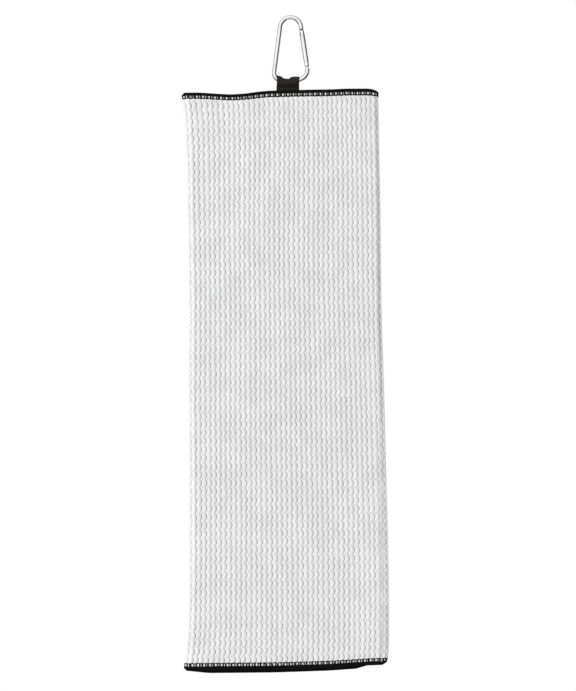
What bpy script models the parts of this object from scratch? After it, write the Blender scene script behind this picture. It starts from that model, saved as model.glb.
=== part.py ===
"""Golf towel on a spring-gate carabiner, folded in three lengthwise.

The origin is the carabiner's inner top surface, where a bag ring carries it. +Z is up, the towel's front
faces -Y and the towel hangs towards -Z. All sizes are in metres.
"""

import math

import bmesh
import bpy
import numpy as np
from mathutils import Matrix, Vector

# Carabiner: a pear-shaped loop of bent rod.
ROD_DIAMETER = 0.0034
TOP_BEND_RADIUS = 0.0083
SPINE_LEAN = math.radians(7.4)
GATE_LEAN = math.radians(8.66)
SPINE_CORNER_DEPTH = 0.0458
LOW_POINT_DEPTH = 0.0510
LOW_POINT_SIDE = -0.0025
GATE_CORNER_DEPTH = 0.0450
SPINE_CORNER_RADIUS = 0.0055
LOW_BEND_RADIUS = 0.0180
GATE_CORNER_RADIUS = 0.0080
BEND_SHARE = 0.97

# Gate: a bored tube with a slot at each end.
GATE_DIAMETER = 0.0039
PIVOT_DEPTH = 0.0360
NOSE_DEPTH = 0.0079
NOSE_GAP = 0.0005
GATE_BORE_DIAMETER = 0.0022
LUG_THICKNESS = 0.0013
LUG_CLEARANCE = 0.0003
PIN_CLEARANCE = 0.00012
HINGE_PIN_DIAMETER = 0.0011
LATCH_PIN_DIAMETER = 0.0010
TANG_RADIUS = 0.0015
CAM_RISE_PER_RADIAN = 0.0005
TANG_SLOT_DEPTH = 0.0024
LATCH_DROP = 0.0020
HOOK_WIDTH = 0.0024
HOOK_TIP = 0.0007

# Plunger and spring inside the gate.
PLUNGER_DIAMETER = 0.0015
PLUNGER_LENGTH = 0.0040
SPRING_LENGTH = 0.0097
SPRING_TURNS = 8
SPRING_WIRE = 0.00026
SPRING_DIAMETER = 0.0015
TOUCH_GAP = 0.0003

# Ribbon loop.
RIBBON_WIDTH = 0.0181
RIBBON_THICKNESS = 0.0006
RIBBON_SIDE = -0.00215
BAR_SPAN = 0.0204
CROWN_SIDE = -0.0017
LOOP_SIDE_SPACE = 0.0011
LOOP_FOOT_SPACE = 0.0009
NECK_DROP = 0.0017
NECK_REACH = 0.00105
TAIL_LENGTH = 0.0165
STITCH_LENGTH = 0.0014
STITCH_THREAD = 0.00035
STITCHES_PER_ROW = 8
STITCH_ROWS = 2

# Towel: one sheet folded in three, the middle third in front.
SHEET_THICKNESS = 0.0022
TOWEL_TOP_DROP = 0.0022
TOWEL_LENGTH = 0.4572
LEFT_FOLD_SIDE = -0.0810
RIGHT_FOLD_SIDE = 0.0745
INNER_FLAP_SPACE = 0.0023
OUTER_FLAP_SPACE = 0.0004
OUTER_FLAP_EDGE = 0.0622
INNER_FLAP_EDGE = -0.0740
EDGING_WIDTH = 0.0056

# Roundness of the turned, bent and folded shapes.
BEND_STEP = math.radians(7.5)
TUBE_SIDES = 24
PIN_SIDES = 16
FOLD_STEPS = 6
RIBBON_COLUMNS = 12
CROWN_STEPS = 12
COIL_STEPS = 10
BAR_SAMPLES = 2000

# Sizes that follow from the ones above.
ROD_RADIUS = ROD_DIAMETER / 2
GATE_RADIUS = GATE_DIAMETER / 2
CROWN_WIDTH = BAR_SPAN - ROD_DIAMETER
LOOP_HALF_DEPTH = ROD_RADIUS + LOOP_SIDE_SPACE
LOOP_THROAT_DEPTH = LOW_POINT_DEPTH + ROD_RADIUS + LOOP_FOOT_SPACE
NECK_DEPTH = LOOP_THROAT_DEPTH + NECK_DROP
TOWEL_TOP_DEPTH = NECK_DEPTH + TOWEL_TOP_DROP
SHEET_HALF = SHEET_THICKNESS / 2
FRONT_Y = -(RIBBON_THICKNESS + TOUCH_GAP + SHEET_HALF)
INNER_Y = FRONT_Y + SHEET_THICKNESS + INNER_FLAP_SPACE
OUTER_Y = INNER_Y + SHEET_THICKNESS + OUTER_FLAP_SPACE
INNER_FOLD_RADIUS = (INNER_Y - FRONT_Y) / 2
OUTER_FOLD_RADIUS = (OUTER_Y - FRONT_Y) / 2
LEFT_TANGENT = LEFT_FOLD_SIDE + OUTER_FOLD_RADIUS + SHEET_HALF
RIGHT_TANGENT = RIGHT_FOLD_SIDE - INNER_FOLD_RADIUS - SHEET_HALF


def clear_scene():
    """Remove every object that the scene starts with."""
    for old in list(bpy.data.objects):
        bpy.data.objects.remove(old, do_unlink=True)


def make_collection(name):
    """Return a new collection linked to the scene."""
    collection = bpy.data.collections.new(name)
    bpy.context.scene.collection.children.link(collection)
    return collection


def make_material(name, colour, roughness, metallic=0.0):
    """Return a Principled material."""
    material = bpy.data.materials.new(name)
    material.use_nodes = True
    shader = material.node_tree.nodes["Principled BSDF"]
    shader.inputs["Base Color"].default_value = (*colour, 1.0)
    shader.inputs["Roughness"].default_value = roughness
    shader.inputs["Metallic"].default_value = metallic
    return material


clear_scene()
PARTS = make_collection("golf_towel")
CUTTERS = make_collection("cutters")
ROD_METAL = ((0.80, 0.81, 0.82), 0.28, 1.0)
PIN_METAL = ((0.55, 0.55, 0.57), 0.30, 1.0)
RIBBON_BLACK = ((0.020, 0.017, 0.016), 0.75)
THREAD_BLACK = ((0.024, 0.020, 0.020), 0.85)
CLOTH_WHITE = ((0.80, 0.80, 0.80), 0.95)


def place(mesh, name, finish=None):
    """Link a mesh as a part with its own material, or as a hidden cutter if it has no finish."""
    piece = bpy.data.objects.new(name, mesh)
    if finish is None:
        CUTTERS.objects.link(piece)
        piece.hide_render = True
        piece.display_type = "WIRE"
        return piece
    PARTS.objects.link(piece)
    mesh.materials.append(make_material(name, *finish))
    return piece


def mesh_from(build, name):
    """Return a mesh filled by a function that draws into a bmesh."""
    drawing = bmesh.new()
    build(drawing)
    bmesh.ops.recalc_face_normals(drawing, faces=drawing.faces)
    mesh = bpy.data.meshes.new(name)
    drawing.to_mesh(mesh)
    drawing.free()
    return mesh


def rod_between(name, start, end, radius, sides):
    """Return the mesh of a straight round rod between two points."""
    span = Vector(end) - Vector(start)
    turn = span.to_track_quat("Z", "Y").to_matrix().to_4x4()
    middle = Matrix.Translation((Vector(start) + Vector(end)) / 2)

    def build(drawing):
        bmesh.ops.create_cone(drawing, cap_ends=True, segments=sides, radius1=radius,
                              radius2=radius, depth=span.length, matrix=middle @ turn)

    return mesh_from(build, name)


def block(name, low, high):
    """Return the mesh of a box between two corners."""
    low, high = Vector(low), Vector(high)
    scale = Matrix.Diagonal((*(high - low), 1.0))

    def build(drawing):
        bmesh.ops.create_cube(drawing, size=1.0, matrix=Matrix.Translation((low + high) / 2) @ scale)

    return mesh_from(build, name)


def flat_outline(name, points, thickness):
    """Return the mesh of a closed outline in X and Y, given thickness along Z about zero."""
    curve = bpy.data.curves.new(name, "CURVE")
    curve.dimensions = "2D"
    curve.fill_mode = "BOTH"
    curve.extrude = thickness / 2
    spline = curve.splines.new("POLY")
    spline.points.add(len(points) - 1)
    for point, (x, y) in zip(spline.points, points):
        point.co = (x, y, 0.0, 1.0)
    spline.use_cyclic_u = True
    return mesh_of_curve(curve, name)


def mesh_of_curve(curve, name):
    """Return a curve as a closed mesh with its caps welded, and remove the curve."""
    holder = bpy.data.objects.new(name + "_curve", curve)
    bpy.context.scene.collection.objects.link(holder)
    bpy.context.view_layer.update()
    evaluated = holder.evaluated_get(bpy.context.evaluated_depsgraph_get())
    mesh = bpy.data.meshes.new_from_object(evaluated)
    mesh.name = name
    bpy.data.objects.remove(holder, do_unlink=True)
    welded = bmesh.new()
    welded.from_mesh(mesh)
    bmesh.ops.remove_doubles(welded, verts=welded.verts, dist=1e-6)
    bmesh.ops.recalc_face_normals(welded, faces=welded.faces)
    welded.to_mesh(mesh)
    welded.free()
    return mesh


def tube_along(name, points, radius, resolution):
    """Return the mesh of a round wire along a list of points."""
    curve = bpy.data.curves.new(name, "CURVE")
    curve.dimensions = "3D"
    curve.bevel_depth = radius
    curve.bevel_resolution = resolution
    curve.use_fill_caps = True
    spline = curve.splines.new("POLY")
    spline.points.add(len(points) - 1)
    for point, (x, y, z) in zip(spline.points, points):
        point.co = (x, y, z, 1.0)
    return mesh_of_curve(curve, name)


def combine(target, other, operation):
    """Add an exact Boolean of another object to a part."""
    step = target.modifiers.new(other.name, "BOOLEAN")
    step.solver = "EXACT"
    step.operation = operation
    step.object = other


def smooth(piece, angle=math.radians(35)):
    """Shade a round piece smooth, with its sharp edges kept."""
    piece.data.shade_smooth()
    piece.data.set_sharp_from_angle(angle=angle)


# ---------------------------------------------------------------- the carabiner's line

def arc(centre, radius, start, end):
    """Points on an arc in the plane of the carabiner, angles from +X towards +Z."""
    steps = max(2, math.ceil(abs(end - start) / BEND_STEP))
    angles = np.linspace(start, end, steps + 1)
    return [np.array(centre) + radius * np.array([math.cos(a), math.sin(a)]) for a in angles]


def bend(before, corner, after, radius):
    """Points of a bend that rounds one corner of the rod's line, within the runs beside it."""
    inward = (before - corner) / np.linalg.norm(before - corner)
    outward = (after - corner) / np.linalg.norm(after - corner)
    half = math.acos(float(np.clip(inward @ outward, -1, 1))) / 2
    room = min(np.linalg.norm(before - corner), np.linalg.norm(after - corner))
    radius = min(radius, BEND_SHARE * room * math.tan(half))
    middle = (inward + outward) / np.linalg.norm(inward + outward)
    centre = corner + middle * radius / math.sin(half)
    first = corner + inward * radius / math.tan(half) - centre
    last = corner + outward * radius / math.tan(half) - centre
    start = math.atan2(first[1], first[0])
    sweep = (math.atan2(last[1], last[0]) - start + math.pi) % (2 * math.pi) - math.pi
    return arc(centre, radius, start, start + sweep)


TOP_CENTRE = np.array([0.0, ROD_RADIUS - TOP_BEND_RADIUS])
SPINE_TANGENT = TOP_CENTRE + TOP_BEND_RADIUS * np.array([-math.cos(SPINE_LEAN), math.sin(SPINE_LEAN)])
GATE_TANGENT = TOP_CENTRE + TOP_BEND_RADIUS * np.array([math.cos(GATE_LEAN), math.sin(GATE_LEAN)])


def on_spine(depth):
    """The point of the spine's straight line at a depth below the origin."""
    return np.array([SPINE_TANGENT[0] - (SPINE_TANGENT[1] + depth) * math.tan(SPINE_LEAN), -depth])


def on_gate(depth):
    """The point of the gate's straight line at a depth below the origin."""
    return np.array([GATE_TANGENT[0] + (GATE_TANGENT[1] + depth) * math.tan(GATE_LEAN), -depth])


PIVOT = on_gate(PIVOT_DEPTH)
NOSE = on_gate(NOSE_DEPTH)
NOSE_HEIGHT = float(np.linalg.norm(NOSE - PIVOT))
GATE_LENGTH = NOSE_HEIGHT - NOSE_GAP
SHOULDER = GATE_RADIUS + TOUCH_GAP + 0.0001
LATCH_HEIGHT = NOSE_HEIGHT - LATCH_DROP
GATE_FRAME = Matrix.Translation((PIVOT[0], 0.0, PIVOT[1])) @ Matrix.Rotation(-GATE_LEAN, 4, "Y")
ROD_END = PIVOT + SHOULDER * np.array([math.sin(GATE_LEAN), -math.cos(GATE_LEAN)])


def bottom_bar():
    """Points of the rod from the spine's lower corner round to the gate's shoulder."""
    spine_corner = on_spine(SPINE_CORNER_DEPTH)
    low_point = np.array([LOW_POINT_SIDE, -LOW_POINT_DEPTH])
    gate_corner = on_gate(GATE_CORNER_DEPTH)
    points = bend(SPINE_TANGENT, spine_corner, low_point, SPINE_CORNER_RADIUS)
    points += bend(spine_corner, low_point, gate_corner, LOW_BEND_RADIUS)
    points += bend(low_point, gate_corner, ROD_END, GATE_CORNER_RADIUS)
    return points


BOTTOM_BAR = bottom_bar()


def rod_line():
    """Points of the whole rod, from the nose over the top and round to the tang's shoulder."""
    top = arc(TOP_CENTRE, TOP_BEND_RADIUS, GATE_LEAN, math.pi - SPINE_LEAN)
    line = [NOSE, *top, *BOTTOM_BAR, ROD_END]
    return [(x, 0.0, z) for x, z in line]


# ---------------------------------------------------------------- carabiner pieces

def place_in_gate(mesh, name, finish=None):
    """Place a mesh drawn about the gate's pivot, with +Z along the gate."""
    piece = place(mesh, name, finish)
    piece.matrix_world = GATE_FRAME
    return piece


def lug_mesh(name, points, thickness):
    """A flat plate in the gate's plane, from an outline of sideways and upward distances."""
    mesh = flat_outline(name, points, thickness)
    mesh.transform(Matrix.Rotation(math.pi / 2, 4, "X"))
    return mesh


def tang_outline():
    """The tang's outline: a root inside the rod, and a cam that rises as the gate turns inwards."""
    root = -SHOULDER - ROD_RADIUS
    points = [(-TANG_RADIUS, root), (TANG_RADIUS, root)]
    for angle in np.linspace(-90.0, 90.0, 25):
        turned = math.radians(angle)
        rise = CAM_RISE_PER_RADIAN * min(max(turned, 0.0), math.radians(50))
        fall = max(0.0, angle - 50.0) / 40.0
        radius = TANG_RADIUS + rise * (1.0 - fall)
        points.append((-radius * math.sin(turned), radius * math.cos(turned)))
    return points


def hook_outline():
    """The nose tongue's outline, with a notch that opens inwards for the latch pin."""
    half = HOOK_WIDTH / 2
    notch = LATCH_PIN_DIAMETER / 2 + PIN_CLEARANCE
    tip = LATCH_HEIGHT - notch - HOOK_TIP
    points = [(-half, NOSE_HEIGHT + ROD_RADIUS), (-half, LATCH_HEIGHT + notch)]
    for angle in np.linspace(90.0, -90.0, 9):
        turned = math.radians(angle)
        points.append((notch * math.cos(turned), LATCH_HEIGHT + notch * math.sin(turned)))
    points += [(-half, LATCH_HEIGHT - notch), (-half, tip), (half, tip), (half, NOSE_HEIGHT + ROD_RADIUS)]
    return points


def cross_pin_mesh(name, height, radius, half_length):
    """A round pin across the gate at a height above the pivot."""
    return rod_between(name, (0.0, -half_length, height), (0.0, half_length, height), radius, PIN_SIDES)


def make_carabiner_body():
    """The bent rod, with its hooked nose tongue and its drilled tang."""
    body = place(tube_along("carabiner_body", rod_line(), ROD_RADIUS, 4), "carabiner_body", ROD_METAL)
    smooth(body)
    tang = place_in_gate(lug_mesh("tang", tang_outline(), LUG_THICKNESS), "tang")
    hook = place_in_gate(lug_mesh("hook", hook_outline(), LUG_THICKNESS), "hook")
    hole_radius = HINGE_PIN_DIAMETER / 2 + PIN_CLEARANCE
    hole = place_in_gate(cross_pin_mesh("tang_hole", 0.0, hole_radius, GATE_DIAMETER), "tang_hole")
    combine(body, tang, "UNION")
    combine(body, hook, "UNION")
    combine(body, hole, "DIFFERENCE")
    return body


def gate_side_outline():
    """The gate seen from the front: rounded about the pivot, flat at the nose end."""
    points = [(GATE_RADIUS, GATE_LENGTH), (-GATE_RADIUS, GATE_LENGTH)]
    for angle in np.linspace(180.0, 360.0, 17):
        turned = math.radians(angle)
        points.append((GATE_RADIUS * math.cos(turned), GATE_RADIUS * math.sin(turned)))
    return points


PLUNGER_TIP = TANG_RADIUS + TOUCH_GAP
SPRING_FOOT = PLUNGER_TIP + PLUNGER_LENGTH + TOUCH_GAP
BORE_END = SPRING_FOOT + SPRING_LENGTH + TOUCH_GAP


def make_gate():
    """The gate tube, bored for its spring, slotted at both ends and drilled for both pins."""
    base = rod_between("carabiner_gate", (0, 0, -GATE_RADIUS), (0, 0, GATE_LENGTH), GATE_RADIUS, TUBE_SIDES)
    gate = place_in_gate(base, "carabiner_gate", ROD_METAL)
    smooth(gate)
    side = lug_mesh("gate_side", gate_side_outline(), GATE_DIAMETER * 2)
    combine(gate, place_in_gate(side, "gate_side"), "INTERSECT")
    slot_half = LUG_THICKNESS / 2 + LUG_CLEARANCE
    across = GATE_DIAMETER
    hook_end = LATCH_HEIGHT - LATCH_PIN_DIAMETER / 2 - PIN_CLEARANCE - HOOK_TIP - TOUCH_GAP
    low_slot = block("tang_slot", (-across, -slot_half, -across), (across, slot_half, TANG_SLOT_DEPTH))
    high_slot = block("hook_slot", (-across, -slot_half, hook_end), (across, slot_half, NOSE_HEIGHT + across))
    bore = rod_between("spring_bore", (0, 0, 0), (0, 0, BORE_END), GATE_BORE_DIAMETER / 2, TUBE_SIDES)
    hinge_hole = cross_pin_mesh("hinge_hole", 0.0, HINGE_PIN_DIAMETER / 2 + PIN_CLEARANCE, across)
    latch_hole = cross_pin_mesh("latch_hole", LATCH_HEIGHT, LATCH_PIN_DIAMETER / 2 + PIN_CLEARANCE, across)
    for cutter in (low_slot, high_slot, bore, hinge_hole, latch_hole):
        combine(gate, place_in_gate(cutter, cutter.name), "DIFFERENCE")
    return gate


def make_pins():
    """The hinge pin and the latch pin, each cut flush with the gate's sides."""
    flush = math.sqrt(GATE_RADIUS**2 - (HINGE_PIN_DIAMETER / 2) ** 2)
    for name, height, diameter in (("gate_hinge_pin", 0.0, HINGE_PIN_DIAMETER),
                                   ("gate_latch_pin", LATCH_HEIGHT, LATCH_PIN_DIAMETER)):
        smooth(place_in_gate(cross_pin_mesh(name, height, diameter / 2, flush), name, PIN_METAL))


def make_plunger():
    """The plunger, a short rod with a rounded upper shoulder that the spring presses on."""
    top = PLUNGER_TIP + PLUNGER_LENGTH
    mesh = rod_between("spring_plunger", (0, 0, PLUNGER_TIP), (0, 0, top), PLUNGER_DIAMETER / 2, PIN_SIDES)
    plunger = place_in_gate(mesh, "spring_plunger", PIN_METAL)
    rounding = plunger.modifiers.new("rounding", "BEVEL")
    rounding.width = PLUNGER_DIAMETER * 0.12
    rounding.segments = 1
    smooth(plunger)


def make_spring():
    """The coil spring between the plunger and the end of the bore."""
    coil_radius = (SPRING_DIAMETER - SPRING_WIRE) / 2
    low = SPRING_FOOT + SPRING_WIRE / 2
    travel = SPRING_LENGTH - SPRING_WIRE
    steps = SPRING_TURNS * COIL_STEPS
    points = []
    for step in range(steps + 1):
        turned = 2 * math.pi * step / COIL_STEPS
        height = low + travel * step / steps
        points.append((coil_radius * math.cos(turned), coil_radius * math.sin(turned), height))
    mesh = tube_along("gate_spring", points, SPRING_WIRE / 2, 2)
    smooth(place_in_gate(mesh, "gate_spring", PIN_METAL))


# ---------------------------------------------------------------- ribbon

def bar_profile(side):
    """The bar's middle and top heights at one place along the ribbon."""
    line = np.array([SPINE_TANGENT, *BOTTOM_BAR])
    run = np.concatenate([[0.0], np.cumsum(np.linalg.norm(np.diff(line, axis=0), axis=1))])
    even = np.linspace(0.0, run[-1], BAR_SAMPLES)
    sides = np.interp(even, run, line[:, 0])
    heights = np.interp(even, run, line[:, 1])
    reach = np.clip(ROD_RADIUS**2 - (sides - side) ** 2, 0.0, None)
    low = heights < -PIVOT_DEPTH
    near = low & (np.abs(sides - side) < ROD_RADIUS)
    middle = float(heights[low][np.argmin(np.abs(sides[low] - side))])
    return middle, float((heights + np.sqrt(reach))[near].max())


def loop_section(side):
    """The ribbon's outline round the bar at one place along it, as (outer, inner) rings of Y and Z."""
    bar_height, bar_top = bar_profile(side)
    inner_high = bar_top - bar_height + TOUCH_GAP
    end = -(NECK_DEPTH - NECK_REACH)
    outer = [(-RIBBON_THICKNESS, end)]
    inner = [(-RIBBON_THICKNESS / 5, -LOOP_THROAT_DEPTH)]
    for turned in np.radians(np.linspace(-100.0, 100.0, CROWN_STEPS + 1)):
        across, up = math.sin(turned), math.cos(turned)
        inner.append((LOOP_HALF_DEPTH * across, bar_height + inner_high * up))
        outer.append(((LOOP_HALF_DEPTH + RIBBON_THICKNESS) * across,
                      bar_height + (inner_high + RIBBON_THICKNESS) * up))
    outer.append((RIBBON_THICKNESS, end))
    inner.append((RIBBON_THICKNESS / 5, -LOOP_THROAT_DEPTH))
    return outer, inner


def make_hang_loop():
    """The ribbon round the carabiner's bar: a loft whose crown follows the curved bar."""
    half = CROWN_WIDTH / 2
    columns = np.linspace(CROWN_SIDE - half, CROWN_SIDE + half, RIBBON_COLUMNS + 1)
    vertices = []
    for side in columns:
        for ring in loop_section(float(side)):
            vertices += [(float(side), y, z) for y, z in ring]
    count = CROWN_STEPS + 3
    faces = []
    for column in range(RIBBON_COLUMNS):
        here, there = column * 2 * count, (column + 1) * 2 * count
        for ring in (0, count):
            for step in range(count):
                following = (step + 1) % count
                faces.append((here + ring + step, here + ring + following,
                              there + ring + following, there + ring + step))
    for base in (0, RIBBON_COLUMNS * 2 * count):
        for step in range(count):
            following = (step + 1) % count
            faces.append((base + step, base + following, base + count + following, base + count + step))

    def build(drawing):
        corners = [drawing.verts.new(vertex) for vertex in vertices]
        for face in faces:
            drawing.faces.new([corners[corner] for corner in face])

    smooth(place(mesh_from(build, "hang_loop"), "hang_loop", RIBBON_BLACK))


def make_loop_tail():
    """The ribbon's two ends, sewn behind the towel's top edge, with a round top at the neck."""
    points = [(-RIBBON_THICKNESS, -NECK_DEPTH - TAIL_LENGTH), (RIBBON_THICKNESS, -NECK_DEPTH - TAIL_LENGTH)]
    for turned in np.radians(np.linspace(0.0, 180.0, 9)):
        points.append((RIBBON_THICKNESS * math.cos(turned),
                       -NECK_DEPTH + RIBBON_THICKNESS * math.sin(turned)))
    mesh = flat_outline("loop_tail", points, RIBBON_WIDTH)
    mesh.transform(Matrix(((0, 0, 1, RIBBON_SIDE), (1, 0, 0, 0), (0, 1, 0, 0), (0, 0, 0, 1))))
    place(mesh, "loop_tail", RIBBON_BLACK)


def make_loop_stitching():
    """One thread in zigzag rows across the back of the ribbon's tail."""
    half_span = RIBBON_WIDTH / 2 - STITCH_LENGTH
    thread_y = RIBBON_THICKNESS + TOUCH_GAP / 2 + STITCH_THREAD / 2
    row_pitch = (TAIL_LENGTH - EDGING_WIDTH) / STITCH_ROWS
    points = []
    for row in range(STITCH_ROWS):
        height = -NECK_DEPTH - EDGING_WIDTH - row_pitch * (row + 0.5)
        sides = np.linspace(-half_span, half_span, STITCHES_PER_ROW + 1)
        for stitch, side in enumerate(sides if row % 2 == 0 else sides[::-1]):
            rise = STITCH_LENGTH / 2 if stitch % 2 == 0 else -STITCH_LENGTH / 2
            points.append((RIBBON_SIDE + side, thread_y, height + rise))
    mesh = tube_along("loop_stitching", points, STITCH_THREAD / 2, 2)
    smooth(place(mesh, "loop_stitching", THREAD_BLACK))


# ---------------------------------------------------------------- towel

def sheet_outline(line):
    """The outline of a sheet of cloth seen from above, offset to both sides of its middle line."""
    line = np.array(line)
    along = np.gradient(line, axis=0)
    along /= np.linalg.norm(along, axis=1)[:, None]
    across = np.stack([-along[:, 1], along[:, 0]], axis=1) * SHEET_HALF
    return [tuple(p) for p in np.concatenate([line + across, (line - across)[::-1]])]


def fold_arc(centre_x, radius, start, end):
    """Points of a fold's middle line, angles in degrees from +X towards +Y, square at both ends."""
    steps = max(2, round(abs(end - start) / 90.0 * FOLD_STEPS))
    inside = np.linspace(start, end, steps + 1)[1:-1]
    beside = math.copysign(3.0, end - start)
    angles = np.radians([start, start + beside, *inside, end - beside, end])
    return [(centre_x + radius * math.cos(a), FRONT_Y + radius + radius * math.sin(a)) for a in angles]


def straight(start_x, end_x, y):
    """The two ends of a flat run of cloth, with a point beside each end so that it stays square."""
    step = math.copysign(SHEET_THICKNESS / 10, end_x - start_x)
    return [(start_x, y), (start_x + step, y), (end_x - step, y), (end_x, y)]


def front_line():
    """The front third, with the front half of the left fold."""
    half_gap = math.degrees(TOUCH_GAP / 2 / (OUTER_FOLD_RADIUS - SHEET_HALF))
    arc_part = fold_arc(LEFT_TANGENT, OUTER_FOLD_RADIUS, 180.0 + half_gap, 270.0)
    return arc_part + straight(LEFT_TANGENT, RIGHT_TANGENT, FRONT_Y)[1:]


def inner_line():
    """The third folded in first, with the whole right fold."""
    start_gap = math.degrees(TOUCH_GAP / (INNER_FOLD_RADIUS - SHEET_HALF))
    arc_part = fold_arc(RIGHT_TANGENT, INNER_FOLD_RADIUS, -90.0 + start_gap, 90.0)
    return arc_part + straight(RIGHT_TANGENT, INNER_FLAP_EDGE, INNER_Y)[1:]


def outer_line():
    """The third folded over last, with the back half of the left fold."""
    half_gap = math.degrees(TOUCH_GAP / 2 / (OUTER_FOLD_RADIUS - SHEET_HALF))
    arc_part = fold_arc(LEFT_TANGENT, OUTER_FOLD_RADIUS, 180.0 - half_gap, 90.0)
    return arc_part + straight(LEFT_TANGENT, OUTER_FLAP_EDGE, OUTER_Y)[1:]


def raise_outline(name, line, low, high, finish):
    """Extrude a sheet's middle line between two heights."""
    mesh = flat_outline(name, sheet_outline(line), high - low)
    mesh.transform(Matrix.Translation((0.0, 0.0, (low + high) / 2)))
    place(mesh, name, finish)


def shorten(line, amount):
    """A line with its last straight run cut back, to leave room for a side edging."""
    ends = np.array(line)
    direction = math.copysign(1.0, ends[-1][0] - ends[-2][0])
    ends[-1][0] -= direction * amount
    ends[-2][0] -= direction * amount
    return [tuple(p) for p in ends]


def make_panel(panel, edging, line, side_edging):
    """One third of the towel with its top and bottom edgings, and a side edging on a cut edge."""
    top = -TOWEL_TOP_DEPTH
    bottom = top - TOWEL_LENGTH
    inset = EDGING_WIDTH + TOUCH_GAP
    cloth = shorten(line, inset) if side_edging else line
    raise_outline(panel, cloth, bottom + inset, top - inset, CLOTH_WHITE)
    raise_outline(edging + "_top_edging", line, top - EDGING_WIDTH, top, THREAD_BLACK)
    raise_outline(edging + "_bottom_edging", line, bottom, bottom + EDGING_WIDTH, THREAD_BLACK)
    if side_edging:
        end_x, end_y = line[-1]
        start_x = end_x - math.copysign(EDGING_WIDTH, line[-1][0] - line[-2][0])
        strip = straight(start_x, end_x, end_y)
        raise_outline(edging + "_side_edging", strip, bottom + inset, top - inset, THREAD_BLACK)


def main():
    """Model every piece."""
    make_carabiner_body()
    make_gate()
    make_pins()
    make_plunger()
    make_spring()
    make_hang_loop()
    make_loop_tail()
    make_loop_stitching()
    make_panel("front_panel", "front", front_line(), side_edging=False)
    make_panel("inner_flap", "inner", inner_line(), side_edging=True)
    make_panel("outer_flap", "outer", outer_line(), side_edging=True)


main()
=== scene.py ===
"""Looks of a waffle golf towel, folded in three lengthwise and hung from a spring-gate carabiner.

Every length is in metres. +Z is up, the towel's front faces -Y, and the origin is the inner top of the
carabiner. The cloth is drawn in its own unfolded coordinates: "along" runs across the towel's width and
round its folds, "down" is the distance below the top edge, and "out" is the distance from the middle of
the cloth.
"""

import logging
import math
from dataclasses import dataclass, field
from enum import Enum
from functools import reduce

import bpy
import bmesh
import numpy as np
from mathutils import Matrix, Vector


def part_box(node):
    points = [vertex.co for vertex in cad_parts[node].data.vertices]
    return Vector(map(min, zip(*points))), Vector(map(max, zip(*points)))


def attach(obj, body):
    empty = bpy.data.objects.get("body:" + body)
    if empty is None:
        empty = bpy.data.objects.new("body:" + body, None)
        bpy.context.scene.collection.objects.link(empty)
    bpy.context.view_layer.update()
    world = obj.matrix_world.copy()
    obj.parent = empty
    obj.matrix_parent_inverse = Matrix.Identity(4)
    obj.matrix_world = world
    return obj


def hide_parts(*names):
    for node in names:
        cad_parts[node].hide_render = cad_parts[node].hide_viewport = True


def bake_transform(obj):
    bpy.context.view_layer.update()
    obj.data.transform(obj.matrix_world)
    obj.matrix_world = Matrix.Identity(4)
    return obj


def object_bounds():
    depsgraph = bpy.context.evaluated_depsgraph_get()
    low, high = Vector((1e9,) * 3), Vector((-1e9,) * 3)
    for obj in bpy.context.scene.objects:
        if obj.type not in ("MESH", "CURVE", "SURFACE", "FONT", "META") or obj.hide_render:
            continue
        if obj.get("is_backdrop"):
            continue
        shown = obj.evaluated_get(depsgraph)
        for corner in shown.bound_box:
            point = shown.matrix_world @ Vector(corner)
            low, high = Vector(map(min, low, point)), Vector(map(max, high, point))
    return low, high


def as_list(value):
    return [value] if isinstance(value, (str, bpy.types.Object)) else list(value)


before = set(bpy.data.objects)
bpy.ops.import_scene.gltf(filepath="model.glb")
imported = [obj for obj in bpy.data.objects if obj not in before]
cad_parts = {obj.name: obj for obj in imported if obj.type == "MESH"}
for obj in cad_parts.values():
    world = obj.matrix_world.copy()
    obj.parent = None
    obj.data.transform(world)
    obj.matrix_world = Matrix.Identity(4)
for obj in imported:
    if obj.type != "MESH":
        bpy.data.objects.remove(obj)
CAD_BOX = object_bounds()

LOG = logging.getLogger("golf_towel")
FULL_TURN = 2.0 * math.pi

TOWEL_TOP = -float(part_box("front_top_edging")[1].z)
TOWEL_LENGTH = float(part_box("front_top_edging")[1].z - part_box("front_bottom_edging")[0].z)


# ---------------------------------------------------------------- meshes from arrays

def grid_faces(rows: int, columns: int, start: int = 0, closed: bool = False) -> np.ndarray:
    """Quads of a grid whose vertices are numbered row by row.

    Args:
        rows: number of vertex rows.
        columns: number of vertices in a row.
        start: number of the first vertex.
        closed: whether the last column joins the first one.

    Returns:
        An array of shape (quads, 4).
    """
    row = np.arange(rows - 1)[:, None]
    column = np.arange(columns if closed else columns - 1)[None, :]
    following = (column + 1) % columns
    corners = (row * columns + column, row * columns + following,
               (row + 1) * columns + following, (row + 1) * columns + column)
    return np.stack([np.broadcast_to(c, (row.size, column.size)).ravel() for c in corners], axis=1) + start


def tube_faces(rings: int, sides: int) -> list[np.ndarray]:
    """Quads of a tube of rings that are numbered one after the other, and a cap at each end.

    Args:
        rings: number of rings.
        sides: number of points in a ring.

    Returns:
        The quads and the two caps, as arrays of faces.
    """
    cap = np.arange(sides)[None, :]
    return [grid_faces(rings, sides, closed=True), cap, cap + (rings - 1) * sides]


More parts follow.
